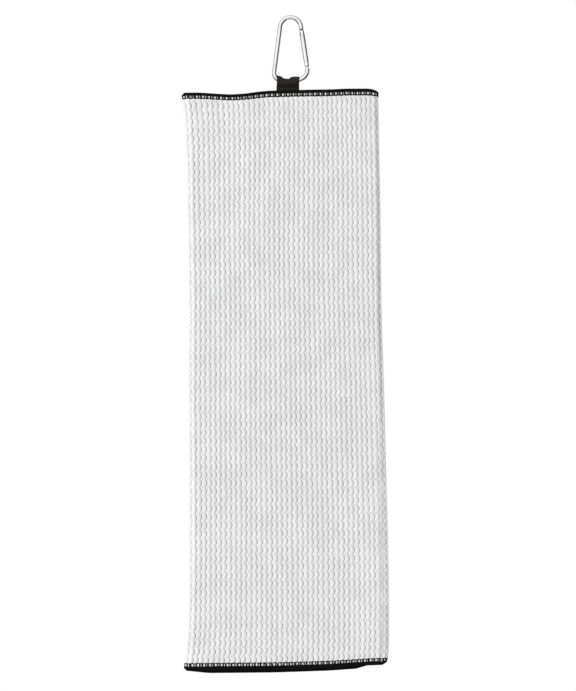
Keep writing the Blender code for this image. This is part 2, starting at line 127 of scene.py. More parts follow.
def tube_sections(path: np.ndarray, side: np.ndarray, lift: tuple[float, float, float], radius: float,
                  sides: int, flatness: float = 1.0) -> np.ndarray:
    """Rings round a path: path + radius * (side * cos + flatness * lift * sin), for each angle of the ring.

    Args:
        path: points of the middle line, shape (..., n, 3).
        side: unit vectors across the path, of the same shape or one that broadcasts to it.
        lift: unit vector out of the plane of the path.
        radius: the tube's radius.
        sides: number of points in a ring.
        flatness: height of the section as a share of its width.

    Returns:
        Points of shape (..., n, sides, 3).
    """
    turn = np.arange(sides) * FULL_TURN / sides
    across = np.cos(turn)[:, None] * np.expand_dims(np.broadcast_to(side, path.shape), -2)
    up = flatness * np.sin(turn)[:, None] * np.array(lift)
    return np.expand_dims(path, -2) + radius * (across + up)


def directions(path: np.ndarray, axis: int = 0) -> np.ndarray:
    """Unit vectors along a path whose points follow each other on this axis."""
    ahead = np.gradient(path, axis=axis)
    return ahead / np.linalg.norm(ahead, axis=-1, keepdims=True)


def smoothstep(low: float, high: float, value: np.ndarray) -> np.ndarray:
    """A smooth rise from 0 at low to 1 at high."""
    t = np.clip((value - low) / (high - low), 0.0, 1.0)
    return t * t * (3.0 - 2.0 * t)


def bell(distance: np.ndarray, width: float, power: int = 2) -> np.ndarray:
    """exp(-(distance / width) ^ power): 1 in the middle, falling away on both sides."""
    return np.exp(-(distance / width) ** power)


def fade(distance: np.ndarray, reach: float) -> np.ndarray:
    """exp(-distance / reach): 1 at an edge and outside it, falling away inside it."""
    return np.exp(-np.clip(distance, 0.0, None) / reach)


def squared_off(value: np.ndarray, power: float) -> np.ndarray:
    """|value| ^ power with the sign of the value, which makes a circle's cosine and sine a rounded box."""
    return np.sign(value) * np.abs(value) ** power


def past_whole(value: np.ndarray, offset: float = 0.0) -> np.ndarray:
    """Signed distance from the nearest whole number plus the offset."""
    return value - offset - np.floor(value - offset + 0.5)


def soft_noise(seed: int, *places: np.ndarray, waves: int = 5) -> np.ndarray:
    """A smooth irregular value from about -1 to 1: a sum of sines with seeded slopes and phases.

    Args:
        seed: number that picks the sines.
        places: coordinates, each in units of the irregularity's size.
        waves: number of sines in the sum.

    Returns:
        An array of the places' shape.
    """
    draw = np.random.default_rng(seed)
    slopes = draw.normal(0.0, 1.0, (waves, len(places)))
    phases = draw.uniform(0.0, FULL_TURN, waves)
    total = np.sin(np.stack(places, axis=-1) @ slopes.T + phases).sum(axis=-1)
    return total / math.sqrt(waves)


@dataclass
class Shell:
    """Vertices, faces and a surface coordinate, gathered before they become one mesh."""

    vertices: list[np.ndarray] = field(default_factory=list)
    surface: list[np.ndarray] = field(default_factory=list)
    faces: list[np.ndarray] = field(default_factory=list)
    count: int = 0

    def add(self, points: np.ndarray, faces: list[np.ndarray], surface: np.ndarray | None = None) -> None:
        """Add points and the faces that use them.

        Args:
            points: array of shape (..., 3).
            faces: arrays of face corners, numbered from 0 within these points.
            surface: the pattern coordinate of each point; the point itself where it is left out.
        """
        self.vertices.append(points.reshape(-1, 3))
        self.surface.append((points if surface is None else surface).reshape(-1, 3))
        self.faces += [group + self.count for group in faces]
        self.count += len(self.vertices[-1])

    def build(self, name: str, smooth_angle: float | None = None) -> bpy.types.Object:
        """Make the mesh object, with its faces turned outwards.

        Args:
            name: the object's name.
            smooth_angle: edges sharper than this stay sharp, in degrees.

        Returns:
            The new object, at the origin.
        """
        mesh = bpy.data.meshes.new(name)
        points = np.concatenate(self.vertices).astype(np.float32)
        loops = np.concatenate([group.ravel() for group in self.faces]).astype(np.int32)
        sizes = np.concatenate([np.full(len(group), group.shape[1]) for group in self.faces])
        starts = np.concatenate([[0], np.cumsum(sizes)[:-1]]).astype(np.int32)
        mesh.vertices.add(len(points))
        mesh.vertices.foreach_set("co", points.ravel())
        mesh.loops.add(len(loops))
        mesh.loops.foreach_set("vertex_index", loops)
        mesh.polygons.add(len(sizes))
        mesh.polygons.foreach_set("loop_start", starts)
        mesh.update(calc_edges=True)
        pattern = mesh.attributes.new("pattern", "FLOAT_VECTOR", "POINT")
        pattern.data.foreach_set("vector", np.concatenate(self.surface).astype(np.float32).ravel())
        turned = bmesh.new()
        turned.from_mesh(mesh)
        bmesh.ops.recalc_face_normals(turned, faces=turned.faces)
        turned.to_mesh(mesh)
        turned.free()
        mesh.shade_smooth()
        if smooth_angle is not None:
            mesh.set_sharp_from_angle(angle=math.radians(smooth_angle))
        piece = bpy.data.objects.new(name, mesh)
        bpy.context.scene.collection.objects.link(piece)
        return piece


# ---------------------------------------------------------------- shader helpers

class Nodes:
    """A short way to place and join shader nodes in one tree."""

    def __init__(self, tree: bpy.types.NodeTree) -> None:
        """Keep the tree that the nodes go in."""
        self.tree = tree

    def feed(self, node: bpy.types.Node, inputs: dict) -> None:
        """Set or join a node's inputs.

        Args:
            node: the node.
            inputs: socket names or numbers, each with a value or with the output socket that feeds it.
        """
        for name, value in inputs.items():
            if isinstance(value, bpy.types.NodeSocket):
                self.tree.links.new(value, node.inputs[name])
            else:
                node.inputs[name].default_value = value

    def add(self, kind: str, inputs: dict | None = None, **settings) -> bpy.types.Node:
        """Place a node.

        Args:
            kind: the node's type.
            inputs: its inputs, as feed takes them.
            settings: properties of the node.

        Returns:
            The new node.
        """
        node = self.tree.nodes.new(kind)
        for name, value in settings.items():
            setattr(node, name, value)
        self.feed(node, inputs or {})
        return node

    def copy_of(self, group: bpy.types.NodeTree, **inputs) -> bpy.types.Node:
        """A node group placed with these inputs."""
        return self.add("ShaderNodeGroup", inputs, node_tree=group)

    def place(self) -> bpy.types.NodeSocket:
        """The place on the object, in Object coordinates."""
        return self.add("ShaderNodeTexCoord").outputs["Object"]

    def pattern(self) -> bpy.types.NodeSocket:
        """The pattern coordinate that each mesh carries."""
        return self.add("ShaderNodeAttribute", attribute_name="pattern").outputs["Vector"]

    def math(self, operation: str, *values) -> bpy.types.NodeSocket:
        """The result of one Math node on up to three values or sockets."""
        return self.add("ShaderNodeMath", dict(enumerate(values)), operation=operation).outputs[0]

    def times(self, *factors) -> bpy.types.NodeSocket:
        """The product of two or more values or sockets."""
        return reduce(lambda first, second: self.math("MULTIPLY", first, second), factors)

    def dot(self, vector: bpy.types.NodeSocket, axis: tuple[float, float, float]) -> bpy.types.NodeSocket:
        """The length of a vector along an axis."""
        node = self.add("ShaderNodeVectorMath", {0: vector, 1: axis}, operation="DOT_PRODUCT")
        return node.outputs["Value"]

    def ramp(self, value: bpy.types.NodeSocket, low: float, high: float, to_low: float = 0.0,
             to_high: float = 1.0) -> bpy.types.NodeSocket:
        """A smooth, clamped rise of a value from one range to another."""
        inputs = {0: value, 1: low, 2: high, 3: to_low, 4: to_high}
        return self.add("ShaderNodeMapRange", inputs, interpolation_type="SMOOTHSTEP").outputs[0]

    def mix(self, share, first, second) -> bpy.types.NodeSocket:
        """A mix of two colours."""
        return self.add("ShaderNodeMix", {0: share, 6: first, 7: second}, data_type="RGBA").outputs[2]

    def noise(self, place: bpy.types.NodeSocket, scale, detail: float,
              roughness: float = 0.5) -> bpy.types.NodeSocket:
        """Layered noise over a place."""
        return self.add("ShaderNodeTexNoise", {"Vector": place, "Scale": scale, "Detail": detail,
                                               "Roughness": roughness}).outputs[0]

    def bump(self, height: bpy.types.NodeSocket, distance: float, strength: float,
             **normal) -> bpy.types.NodeSocket:
        """The normal of a surface raised by a height."""
        inputs = {"Height": height, "Distance": distance, "Strength": strength}
        return self.add("ShaderNodeBump", inputs | normal).outputs[0]


def new_group(name: str, inputs: dict[str, str], outputs: tuple[str, ...]) -> Nodes:
    """Start a shader node group.

    Args:
        name: the group's name.
        inputs: names and socket types that go in.
        outputs: names of the numbers that come out.

    Returns:
        A helper that places nodes in the group.
    """
    group = bpy.data.node_groups.new(name, "ShaderNodeTree")
    for label, kind in inputs.items():
        group.interface.new_socket(name=label, in_out="INPUT", socket_type=kind)
    for label in outputs:
        group.interface.new_socket(name=label, in_out="OUTPUT", socket_type="NodeSocketFloat")
    return Nodes(group)


def fibre_group() -> bpy.types.NodeTree:
    """Fine fibre fuzz: layered noise whose grain is a set size, as a height and a mottle mask.

    Returns:
        The node group.
    """
    nodes = new_group("fibre_fuzz", {"Vector": "NodeSocketVector", "Grain": "NodeSocketFloat"},
                      ("Height", "Mottle"))
    entry = nodes.add("NodeGroupInput")
    place, scale = entry.outputs["Vector"], nodes.math("DIVIDE", 1.0, entry.outputs["Grain"])
    tufts = nodes.add("ShaderNodeTexVoronoi", {"Vector": place, "Scale": nodes.times(scale, 0.8)}).outputs[0]
    height = nodes.math("SUBTRACT", nodes.noise(place, scale, 4.0, 0.65), nodes.times(tufts, 0.45))
    mottle = nodes.noise(place, nodes.times(scale, 0.02), 3.0)
    nodes.add("NodeGroupOutput", {"Height": height, "Mottle": mottle})
    return nodes.tree


def waffle_group() -> bpy.types.NodeTree:
    """Masks of the waffle cell, from a pattern whose whole numbers are grooves across and rows down.

    The groove mask falls away from the nearest whole number across. The crossing mask marks where a row meets
    a groove, and the pit shade mask a small pit on some rows, beside the middle of the cell. The cloth paints
    shade in its grooves and pits with these masks.

    Returns:
        The node group.
    """
    nodes = new_group("waffle_masks", {"Pattern": "NodeSocketVector"},
                      ("Groove", "Crossing", "PitShade", "Ribs"))
    pattern = nodes.add("NodeGroupInput").outputs["Pattern"]
    parts = nodes.add("ShaderNodeSeparateXYZ", {0: pattern})
    across, down = parts.outputs[0], parts.outputs[1]

    def near(value: bpy.types.NodeSocket, middle: float, inner: float, outer: float) -> bpy.types.NodeSocket:
        """1 within inner of the nearest whole number plus middle, and 0 past outer."""
        distance = nodes.math("PINGPONG", nodes.math("SUBTRACT", value, middle), 0.5)
        return nodes.ramp(distance, inner, outer, 1.0, 0.0)

    some = nodes.ramp(nodes.noise(pattern, 0.7, 0.0), 0.38, 0.58)
    ribs = nodes.add("ShaderNodeTexWave", {"Vector": pattern, "Scale": 2.6, "Distortion": 1.5, "Detail": 1.0},
                     bands_direction="X").outputs[1]
    nodes.add("NodeGroupOutput", {"Groove": near(across, 0.0, 0.03, 0.17),
                                  "Crossing": near(down, 0.0, 0.06, 0.20),
                                  "PitShade": nodes.times(near(across, 0.42, 0.05, 0.12),
                                                       near(down, 0.0, 0.03, 0.08), some),
                                  "Ribs": ribs})
    return nodes.tree


def thread_group() -> bpy.types.NodeTree:
    """Twisted plies: slanted bands along a thread, with stray fibres, as one height.

    Returns:
        The node group.
    """
    nodes = new_group("thread_twist", {"Vector": "NodeSocketVector", "Pitch": "NodeSocketFloat"}, ("Height",))
    entry = nodes.add("NodeGroupInput")
    place, scale = entry.outputs["Vector"], nodes.math("DIVIDE", 1.0, entry.outputs["Pitch"])
    plies = nodes.add("ShaderNodeTexWave", {"Vector": place, "Scale": scale, "Distortion": 2.0,
                                            "Detail": 1.5, "Detail Scale": 2.0}, bands_direction="DIAGONAL")
    strays = nodes.noise(place, nodes.times(scale, 3.0), 3.0)
    nodes.add("NodeGroupOutput", {"Height": nodes.math("ADD", nodes.times(plies.outputs[1], 0.7),
                                                       nodes.times(strays, 0.5))})
    return nodes.tree


# ---------------------------------------------------------------- the finishes

class Finish:
    """A finish: what feeds the Principled shader of a material."""

    def inputs(self, nodes: Nodes) -> dict:
        """The shader's inputs, which each finish works out for itself."""
        raise NotImplementedError

    def material(self, name: str) -> bpy.types.Material:
        """Make the material.

        Args:
            name: the material's name.

        Returns:
            The new material.
        """
        material = bpy.data.materials.new(name)
        material.use_nodes = True
        nodes = Nodes(material.node_tree)
        nodes.feed(material.node_tree.nodes["Principled BSDF"], self.inputs(nodes))
        return material

    def dress(self, piece: bpy.types.Object) -> None:
        """Give a new piece this finish, in a material of the piece's name, and report the piece."""
        piece.data.materials.append(self.material(piece.name))
        LOG.info("%s: %d faces", piece.name, len(piece.data.polygons))


@dataclass(frozen=True)
class WaffleCloth(Finish):
    """White microfibre with a woven waffle: matt and fuzzy, with painted shade in its grooves and small pits.
    """

    fuzz: bpy.types.NodeTree
    masks: bpy.types.NodeTree
    white: tuple[float, float, float, float] = (0.87, 0.87, 0.87, 1.0)
    # This grey paints shade in the grooves and pits, and also gives the random mottle and loft.
    shade_and_mottle_grey: tuple[float, float, float, float] = (0.40, 0.40, 0.40, 1.0)
    groove_painted_shade: float = 0.70
    pit_painted_shade: float = 0.85
    mottle_shade: float = 0.10
    loft_shade: float = 0.16
    grain: float = 0.00035
    loft: float = 0.0013

    def inputs(self, nodes: Nodes) -> dict:
        """Mix the white with painted shade in the grooves and small pits, and with grey mottle unevenly all
        over.

        Args:
            nodes: helper for the material's tree.

        Returns:
            The shader's inputs.
        """
        place = nodes.place()
        fuzz = nodes.copy_of(self.fuzz, Vector=place, Grain=self.grain)
        masks = nodes.copy_of(self.masks, Pattern=nodes.pattern())
        # Painted shade: darker in the grooves, half as dark where rows cross them, and darker in the small
        # pits.
        away = nodes.math("SUBTRACT", 1.0, nodes.times(masks.outputs["Crossing"], 0.5))
        shade = nodes.math("MAXIMUM", nodes.times(masks.outputs["Groove"], away, self.groove_painted_shade),
                           nodes.times(masks.outputs["PitShade"], self.pit_painted_shade))
        mottle = nodes.ramp(fuzz.outputs["Mottle"], 0.35, 0.65, 0.0, self.mottle_shade)
        loft = nodes.ramp(nodes.noise(place, 1.0 / self.loft, 2.0), 0.32, 0.68, 0.0, self.loft_shade)
        # Mottle and loft are random tone, added to the painted shade as one share of grey.
        shade = nodes.math("ADD", shade, nodes.math("ADD", mottle, loft))
        ribs = nodes.bump(masks.outputs["Ribs"], 0.00010, 0.5)
        return {"Base Color": nodes.mix(shade, self.white, self.shade_and_mottle_grey),
                "Roughness": nodes.ramp(fuzz.outputs["Height"], 0.1, 0.7, 0.98, 0.86),
                "Specular IOR Level": 0.25, "Sheen Weight": 0.18, "Sheen Roughness": 0.6,
                "Normal": nodes.bump(fuzz.outputs["Height"], 0.00022, 0.75, Normal=ribs)}


@dataclass(frozen=True)
class BlackThread(Finish):
    """Black polyester yarn: dull, with twisted plies and grey stray fibres."""

    twist: bpy.types.NodeTree
    fuzz: bpy.types.NodeTree
    black: tuple[float, float, float, float] = (0.0025, 0.0022, 0.0022, 1.0)
    worn: tuple[float, float, float, float] = (0.012, 0.011, 0.010, 1.0)
    pitch: float = 0.0011
    grain: float = 0.00012

    def inputs(self, nodes: Nodes) -> dict:
        """Raise the plies, and lighten the black where a fibre stands up.

        Args:
            nodes: helper for the material's tree.

        Returns:
            The shader's inputs.
        """
        plies = nodes.copy_of(self.twist, Vector=nodes.pattern(), Pitch=self.pitch)
        fuzz = nodes.copy_of(self.fuzz, Vector=nodes.place(), Grain=self.grain)
        light = nodes.ramp(fuzz.outputs["Height"], 0.25, 0.7)
        return {"Base Color": nodes.mix(light, self.black, self.worn),
                "Roughness": nodes.ramp(fuzz.outputs["Mottle"], 0.3, 0.7, 0.68, 0.85),
                "Specular IOR Level": 0.10,
                "Normal": nodes.bump(plies.outputs["Height"], 0.00012, 0.8)}


@dataclass(frozen=True)
class WovenRibbon(Finish):
    """Black ribbed ribbon: fine cross ribs over finer warp threads, glossier on top of the ribs."""

    fuzz: bpy.types.NodeTree
    black: tuple[float, float, float, float] = (0.006, 0.005, 0.0042, 1.0)
    worn: tuple[float, float, float, float] = (0.034, 0.028, 0.024, 1.0)
    rib: float = 0.00062
    grain: float = 0.00015

    def inputs(self, nodes: Nodes) -> dict:
        """Raise |sin| ribs along the ribbon and |sin| threads across it; the pattern is across, then along.

        Args:
            nodes: helper for the material's tree.

        Returns:
            The shader's inputs.
        """
        pattern = nodes.pattern()
        parts = nodes.add("ShaderNodeSeparateXYZ", {0: pattern})
        warp, ribs = (nodes.math("ABSOLUTE", nodes.math("SINE", nodes.times(part, math.pi / pitch)))
                      for part, pitch in zip(parts.outputs, (self.rib / 2, self.rib)))
        fuzz = nodes.copy_of(self.fuzz, Vector=pattern, Grain=self.grain)
        weave = nodes.math("ADD", ribs, nodes.times(warp, 0.35))
        light = nodes.times(nodes.ramp(weave, 0.2, 1.3), nodes.ramp(fuzz.outputs["Height"], 0.1, 0.6))
        return {"Base Color": nodes.mix(light, self.black, self.worn),
                "Roughness": nodes.ramp(weave, 0.2, 1.3, 0.82, 0.60),
                "Specular IOR Level": 0.30, "Sheen Weight": 0.03,
                "Normal": nodes.bump(weave, 0.00010, 0.8)}


@dataclass(frozen=True)
class PaintedGateShade:
    """Where shade is painted dark round a gate: in the gap at its free end and at the sides of its slot.

    Places are measured from the pivot, across the gate and along it.
    """

    pivot: tuple[float, float]
    lean: float
    gap_height: float
    slot_low: float
    slot_high: float
    gap_half: float = 0.00050
    gate_half: float = 0.0030
    slot_side: float = 0.0009
    slot_share: float = 0.85

    def mask(self, nodes: Nodes, place: bpy.types.NodeSocket) -> bpy.types.NodeSocket:
        """Mark the painted shade.

        Args:
            nodes: helper for the material's tree.
            place: Object coordinates.

        Returns:
            1 in the painted shade and 0 away from it.
        """
        about = nodes.add("ShaderNodeVectorMath", {0: place, 1: (self.pivot[0], 0.0, self.pivot[1])},
                          operation="SUBTRACT").outputs[0]
        c, s = math.cos(self.lean), math.sin(self.lean)
        side = nodes.math("ABSOLUTE", nodes.dot(about, (c, 0.0, s)))
        height = nodes.dot(about, (-s, 0.0, c))
        on_gate = nodes.ramp(side, self.gate_half, self.gate_half * 1.1, 1.0, 0.0)
        from_gap = nodes.math("ABSOLUTE", nodes.math("SUBTRACT", height, self.gap_height))
        gap = nodes.times(nodes.ramp(from_gap, self.gap_half * 0.75, self.gap_half * 1.25, 1.0, 0.0), on_gate)
        slot = nodes.times(nodes.ramp(side, self.slot_side, self.slot_side * 1.2), on_gate,
                           nodes.ramp(height, self.slot_low, self.slot_low + 0.0008),
                           nodes.ramp(height, self.slot_high - 0.0003, self.slot_high, 1.0, 0.0),
                           self.slot_share)
        return nodes.math("MAXIMUM", gap, slot)


class Polish(Enum):
    """How the metal of a piece is finished, and one dark grey for painted shade: red, green, blue, and its
    least and greatest roughness.
    """

    SATIN = (0.86, 0.86, 0.87, 0.13, 0.22)
    STEEL = (0.55, 0.55, 0.57, 0.24, 0.42)
    SPRING = (0.42, 0.42, 0.44, 0.30, 0.46)
    # Not a finish: a dark grey that paints shade on the faces cut into the gate's slots.
    PAINTED_CUT_SHADE = (0.06, 0.06, 0.06, 0.45, 0.60)


@dataclass(frozen=True)
class BrightMetal(Finish):
    """Bare metal with drawn lines along it, faint smears and small nicks."""

    polish: Polish
    line: float = 0.00022
    smear: float = 220.0
    nick: float = 0.0016
    # Shade painted dark round a gate, if any, and the black it is painted in.
    painted_gate_shade: PaintedGateShade | None = None
    painted_shade_black: tuple[float, float, float, float] = (0.012, 0.012, 0.012, 1.0)

    def inputs(self, nodes: Nodes) -> dict:
        """Darken and dull the metal in its smears and nicks, and where shade is painted round a gate.

        Args:
            nodes: helper for the material's tree.

        Returns:
            The shader's inputs.
        """
        red, green, blue, smooth, dull = self.polish.value
        place = nodes.place()
        drawn = nodes.add("ShaderNodeMapping", {"Vector": place, "Scale": (1.0, 1.0, 0.06)}).outputs[0]
        lines = nodes.noise(drawn, 1.0 / self.line, 3.0, 0.6)
        smears = nodes.noise(place, self.smear, 4.0)
        nicks = nodes.add("ShaderNodeTexVoronoi", {"Vector": place, "Scale": 1.0 / self.nick}).outputs[0]
        pits = nodes.ramp(nicks, 0.02, 0.09, 1.0, 0.0)
        smeared = (red * 0.90, green * 0.90, blue * 0.91, 1.0)
        colour = nodes.mix(nodes.ramp(smears, 0.35, 0.7), (red, green, blue, 1.0), smeared)
        rough = nodes.math("ADD", nodes.ramp(smears, 0.3, 0.75, smooth, dull), nodes.times(pits, 0.15))
        # Painted shade: the gap at the gate's free end and the sides of its slot are painted dark and dull.
        if self.painted_gate_shade is not None:
            mask = self.painted_gate_shade.mask(nodes, place)
            colour = nodes.mix(mask, colour, self.painted_shade_black)
            rough = nodes.math("ADD", rough, nodes.times(mask, 0.4))
        height = nodes.math("SUBTRACT", nodes.times(lines, 0.6), pits)
        return {"Base Color": colour, "Roughness": rough, "Metallic": 1.0,
                "Normal": nodes.bump(height, 0.00001, 0.15)}


@dataclass(frozen=True)
class PaleFloor(Finish):
    """A dull pale floor with a faint grain."""

    light: tuple[float, float, float, float] = (0.86, 0.86, 0.86, 1.0)
    dark: tuple[float, float, float, float] = (0.80, 0.80, 0.80, 1.0)

    def inputs(self, nodes: Nodes) -> dict:
        """Mix the two greys by noise."""
        return {"Base Color": nodes.mix(nodes.noise(nodes.place(), 40.0, 4.0), self.light, self.dark),
                "Roughness": 0.9}


@dataclass
class Finishes:
    """The finishes that more than one piece shares."""

    cloth: WaffleCloth
    thread: BlackThread
    ribbon: WovenRibbon
    steel: BrightMetal
    spring: BrightMetal

    @classmethod
    def make(cls) -> "Finishes":
        """Build each node group once and hand it to the finishes that use it."""
        fuzz = fibre_group()
        return cls(WaffleCloth(fuzz, waffle_group()), BlackThread(thread_group(), fuzz), WovenRibbon(fuzz),
                   BrightMetal(Polish.STEEL), BrightMetal(Polish.SPRING))


# ---------------------------------------------------------------- the folded cloth

@dataclass(frozen=True)
class Shift:
    """A shift that is largest at an edge and fades away from it over its reach."""

    size: float
    reach: float

    def at(self, distance: np.ndarray) -> np.ndarray:
        """The shift at a distance from the edge."""
        return self.size * fade(distance, self.reach)


@dataclass
class FoldedCloth:
    """Where the towel's cloth runs: three thirds joined by two round folds, and how it hangs.

    "along" is 0 where the front third meets the left fold. It grows to the right over the front, round the
    right fold and back over the inner third. It falls below 0 round the left fold and over the outer third.
    """

    front_y: float = -0.0020
    inner_y: float = 0.0025
    outer_y: float = 0.0051
    left_tangent: float = -0.07635
    right_tangent: float = 0.07115
    outer_edge: float = 0.0622
    inner_edge: float = -0.0740
    half: float = 0.0011
    left_side: float = -0.0810
    right_side: float = 0.0745
    # Sideways: the left fold's flare at its ends, its slant and its turned-in foot, then the right side's
    left_flare_top: Shift = Shift(-0.0059, 0.033)
    left_flare_foot: Shift = Shift(-0.0056, 0.018)
    left_slant: float = 0.0014
    left_foot: Shift = Shift(0.0014, 0.0025)
    right_start: float = -0.0044
    right_slant: float = 0.0078
    right_slant_depth: float = 0.440
    right_foot: Shift = Shift(-0.0024, 0.006)
    wander: float = 0.00035
    # Up and down: how far the edges' waves reach, the sagging outer flap, the ribbon's dip, the round corners
    top_reach: float = 0.030
    bottom_reach: float = 0.045
    flap_drop: float = 0.0022
    flap_ends: tuple[float, float, float, float] = (-0.0830, -0.0590, 0.0490, 0.0625)
    ribbon_dip: float = 0.0014
    ribbon_x: float = -0.002
    ribbon_half: float = 0.015
    left_corner: Shift = Shift(-0.00205, 0.0026)
    right_corner: Shift = Shift(-0.0041, 0.0042)
    right_corner_width: float = 0.0115
    low_corner: Shift = Shift(0.001476, 0.0022)
    # In and out: the rolled strip beside the right fold, the slow bow and one faint crease
    roll_inset: float = 0.0012
    roll_slant: float = 0.0032
    roll_depth: float = 0.0017
    roll_width: float = 0.00085
    bow: float = 0.0009
    crease_depth: float = 0.00045
    crease_width: float = 0.0035
    crease_z: float = -0.168
    crease_x: float = -0.018
    crease_slope: float = 0.03
    top_edge: tuple[tuple[float, float], ...] = (
        (-0.0812, -0.0008), (-0.0749, -0.0007), (-0.0680, -0.0007),
        (-0.0573, -0.0015), (-0.0460, -0.0022), (-0.0346, -0.0015), (-0.0234, 0.0001), (-0.0158, 0.0008),
        (0.0218, 0.0017), (0.0338, 0.0018), (0.0464, 0.0024), (0.0680, 0.0025), (0.0745, 0.0020))
    bottom_edge: tuple[tuple[float, float], ...] = (
        (-0.0812, -0.0009), (-0.0770, -0.0010), (-0.0580, -0.0006), (-0.0140, -0.0002), (0.0070, 0.0005),
        (0.0294, 0.0013), (0.0410, 0.0021), (0.0526, 0.0029), (0.0620, 0.0036), (0.0745, 0.0039))

    def __post_init__(self) -> None:
        """Work out the folds and the length of each run."""
        self.left_radius = (self.outer_y - self.front_y) / 2
        self.right_radius = (self.inner_y - self.front_y) / 2
        self.front_run = self.right_tangent - self.left_tangent
        self.left_turn = math.pi * self.left_radius
        self.right_turn = math.pi * self.right_radius
        self.inner_end = self.front_run + self.right_turn + self.right_tangent - self.inner_edge
        self.outer_end = -self.left_turn - (self.outer_edge - self.left_tangent)

    def line(self, along: np.ndarray) -> tuple[np.ndarray, np.ndarray]:
        """Middle line and outward direction in X and Y: straight runs joined by half circles.

        Args:
            along: distances along the line.

        Returns:
            Points and unit directions, each of shape (..., 2).
        """
        left = np.clip(-along / self.left_radius, 0.0, math.pi)
        right = np.clip((along - self.front_run) / self.right_radius, 0.0, math.pi)
        on_front = np.clip(along, 0.0, self.front_run)
        past_left = np.clip(-along - self.left_turn, 0.0, None)
        past_right = np.clip(along - self.front_run - self.right_turn, 0.0, None)
        x = (self.left_tangent + on_front - self.left_radius * np.sin(left)
             + self.right_radius * np.sin(right) + past_left - past_right)
        y = (self.front_y + self.left_radius * (1.0 - np.cos(left))
             + self.right_radius * (1.0 - np.cos(right)))
        turned = np.where(along < 0.0, left, right)
        sideways = np.where(along < 0.0, -np.sin(left), np.sin(right))
        return np.stack([x, y], axis=-1), np.stack([sideways, -np.cos(turned)], axis=-1)

    @staticmethod
    def eased(x: np.ndarray, knots: tuple[tuple[float, float], ...]) -> np.ndarray:
        """Heights between knots of (place, height), with the corners at the knots rounded off."""
        places, heights = np.array(knots).T
        offsets = np.linspace(-0.003, 0.003, 7)
        return np.mean([np.interp(x + offset, places, heights) for offset in offsets], axis=0)

    def sideways(self, x: np.ndarray, z: np.ndarray, down: np.ndarray, up: np.ndarray) -> np.ndarray:
        """How far the cloth moves in X: each side's own shift, dying away towards the other, and a wander.

        Args:
            x: places across the flat folded cloth.
            z: its heights.
            down: distances below the top edge.
            up: distances above the bottom edge.

        Returns:
            An array of x's shape.
        """
        share = np.clip((x - self.left_side) / (self.right_side - self.left_side), 0.0, 1.0)
        left = (self.left_flare_top.at(down) + self.left_flare_foot.at(up)
                + self.left_slant * down / TOWEL_LENGTH + self.left_foot.at(up))
        right = (self.right_start + self.right_slant * smoothstep(0.0, self.right_slant_depth, down)
                 + self.right_foot.at(up))
        wander = self.wander * soft_noise(5, x * 30.0, z * 26.0)
        return left * (1.0 - share) ** 4 + right * share ** 1.5 + wander

    def rise(self, x: np.ndarray, y: np.ndarray, down: np.ndarray, up: np.ndarray,
             drop: np.ndarray) -> np.ndarray:
        """How far the cloth moves in Z: both edges' waves, the flap's sag, the ribbon's dip, the corners.

        The top right corner is a quarter of an ellipse: 1 - sqrt(1 - t^2) over its width.

        Args:
            x: places across the flat folded cloth.
            y: its depths.
            down: distances below the top edge.
            up: distances above the bottom edge.
            drop: how far each point is let down, as a share of flap_drop.

        Returns:
            An array of x's shape.
        """
        waves = (self.eased(x, self.top_edge) * fade(down, self.top_reach)
                 + self.eased(x, self.bottom_edge) * fade(up, self.bottom_reach))
        start, full, going, gone = self.flap_ends
        sag = self.flap_drop * drop * smoothstep(start, full, x) * smoothstep(gone, going, x)
        behind = smoothstep(0.0008, 0.0038, y) * bell(x - self.ribbon_x, self.ribbon_half, 4)
        dip = self.ribbon_dip * behind * fade(down, self.top_reach)
        at_left = smoothstep(0.0022, -0.0002, x - self.left_side)
        at_right = smoothstep(0.0035, 0.0, self.right_side - x)
        to_right = np.clip(1.0 - (self.right_side + self.half - x) / self.right_corner_width, 0.0, 1.0)
        corners = (self.left_corner.at(down) * at_left
                   + self.right_corner.at(down) * (1.0 - np.sqrt(1.0 - to_right ** 2))
                   + self.low_corner.at(up) * (at_left + at_right))
        return waves - sag - dip + corners

    def inward(self, x: np.ndarray, y: np.ndarray, z: np.ndarray, down: np.ndarray) -> np.ndarray:
        """How far the cloth moves in Y: a rolled strip beside the right fold, a slow bow and a crease.

        Args:
            x: places across the flat folded cloth.
            y: its depths.
            z: its heights.
            down: distances below the top edge.

        Returns:
            An array of x's shape.
        """
        groove = self.right_side - self.roll_inset - self.roll_slant * smoothstep(0.05, TOWEL_LENGTH, down)
        roll = self.roll_depth * bell(x - groove, self.roll_width) * smoothstep(0.0, -0.0014, y)
        bow = self.bow * soft_noise(11, x * 34.0, z * 11.0, waves=4) * smoothstep(0.0, 0.05, down)
        crease = (self.crease_depth * bell(z - self.crease_z - self.crease_slope * x, self.crease_width)
                  * smoothstep(0.05, 0.02, np.abs(x - self.crease_x)))
        return roll + bow - crease

    def place(self, along: np.ndarray, down: np.ndarray, out: np.ndarray) -> np.ndarray:
        """Places in space: the middle line at "along", pushed "out", "down" below the top, then hung.

        Args:
            along: distances along the middle line.
            down: distances below the top edge.
            out: distances from the cloth's middle, positive on the towel's outer face.

        Returns:
            Points of shape (..., 3).
        """
        along, down, out = np.broadcast_arrays(along, down, out)
        line, outward = self.line(along)
        x, y = np.moveaxis(line + outward * out[..., None], -1, 0)
        z, up = -TOWEL_TOP - down, TOWEL_LENGTH - down
        drop = np.where(along < 0.0, smoothstep(0.0, self.left_turn, -along), 0.0) * down / TOWEL_LENGTH
        return np.stack([x + self.sideways(x, z, down, up), y + self.inward(x, y, z, down),
                         z + self.rise(x, y, down, up, drop)], axis=-1)


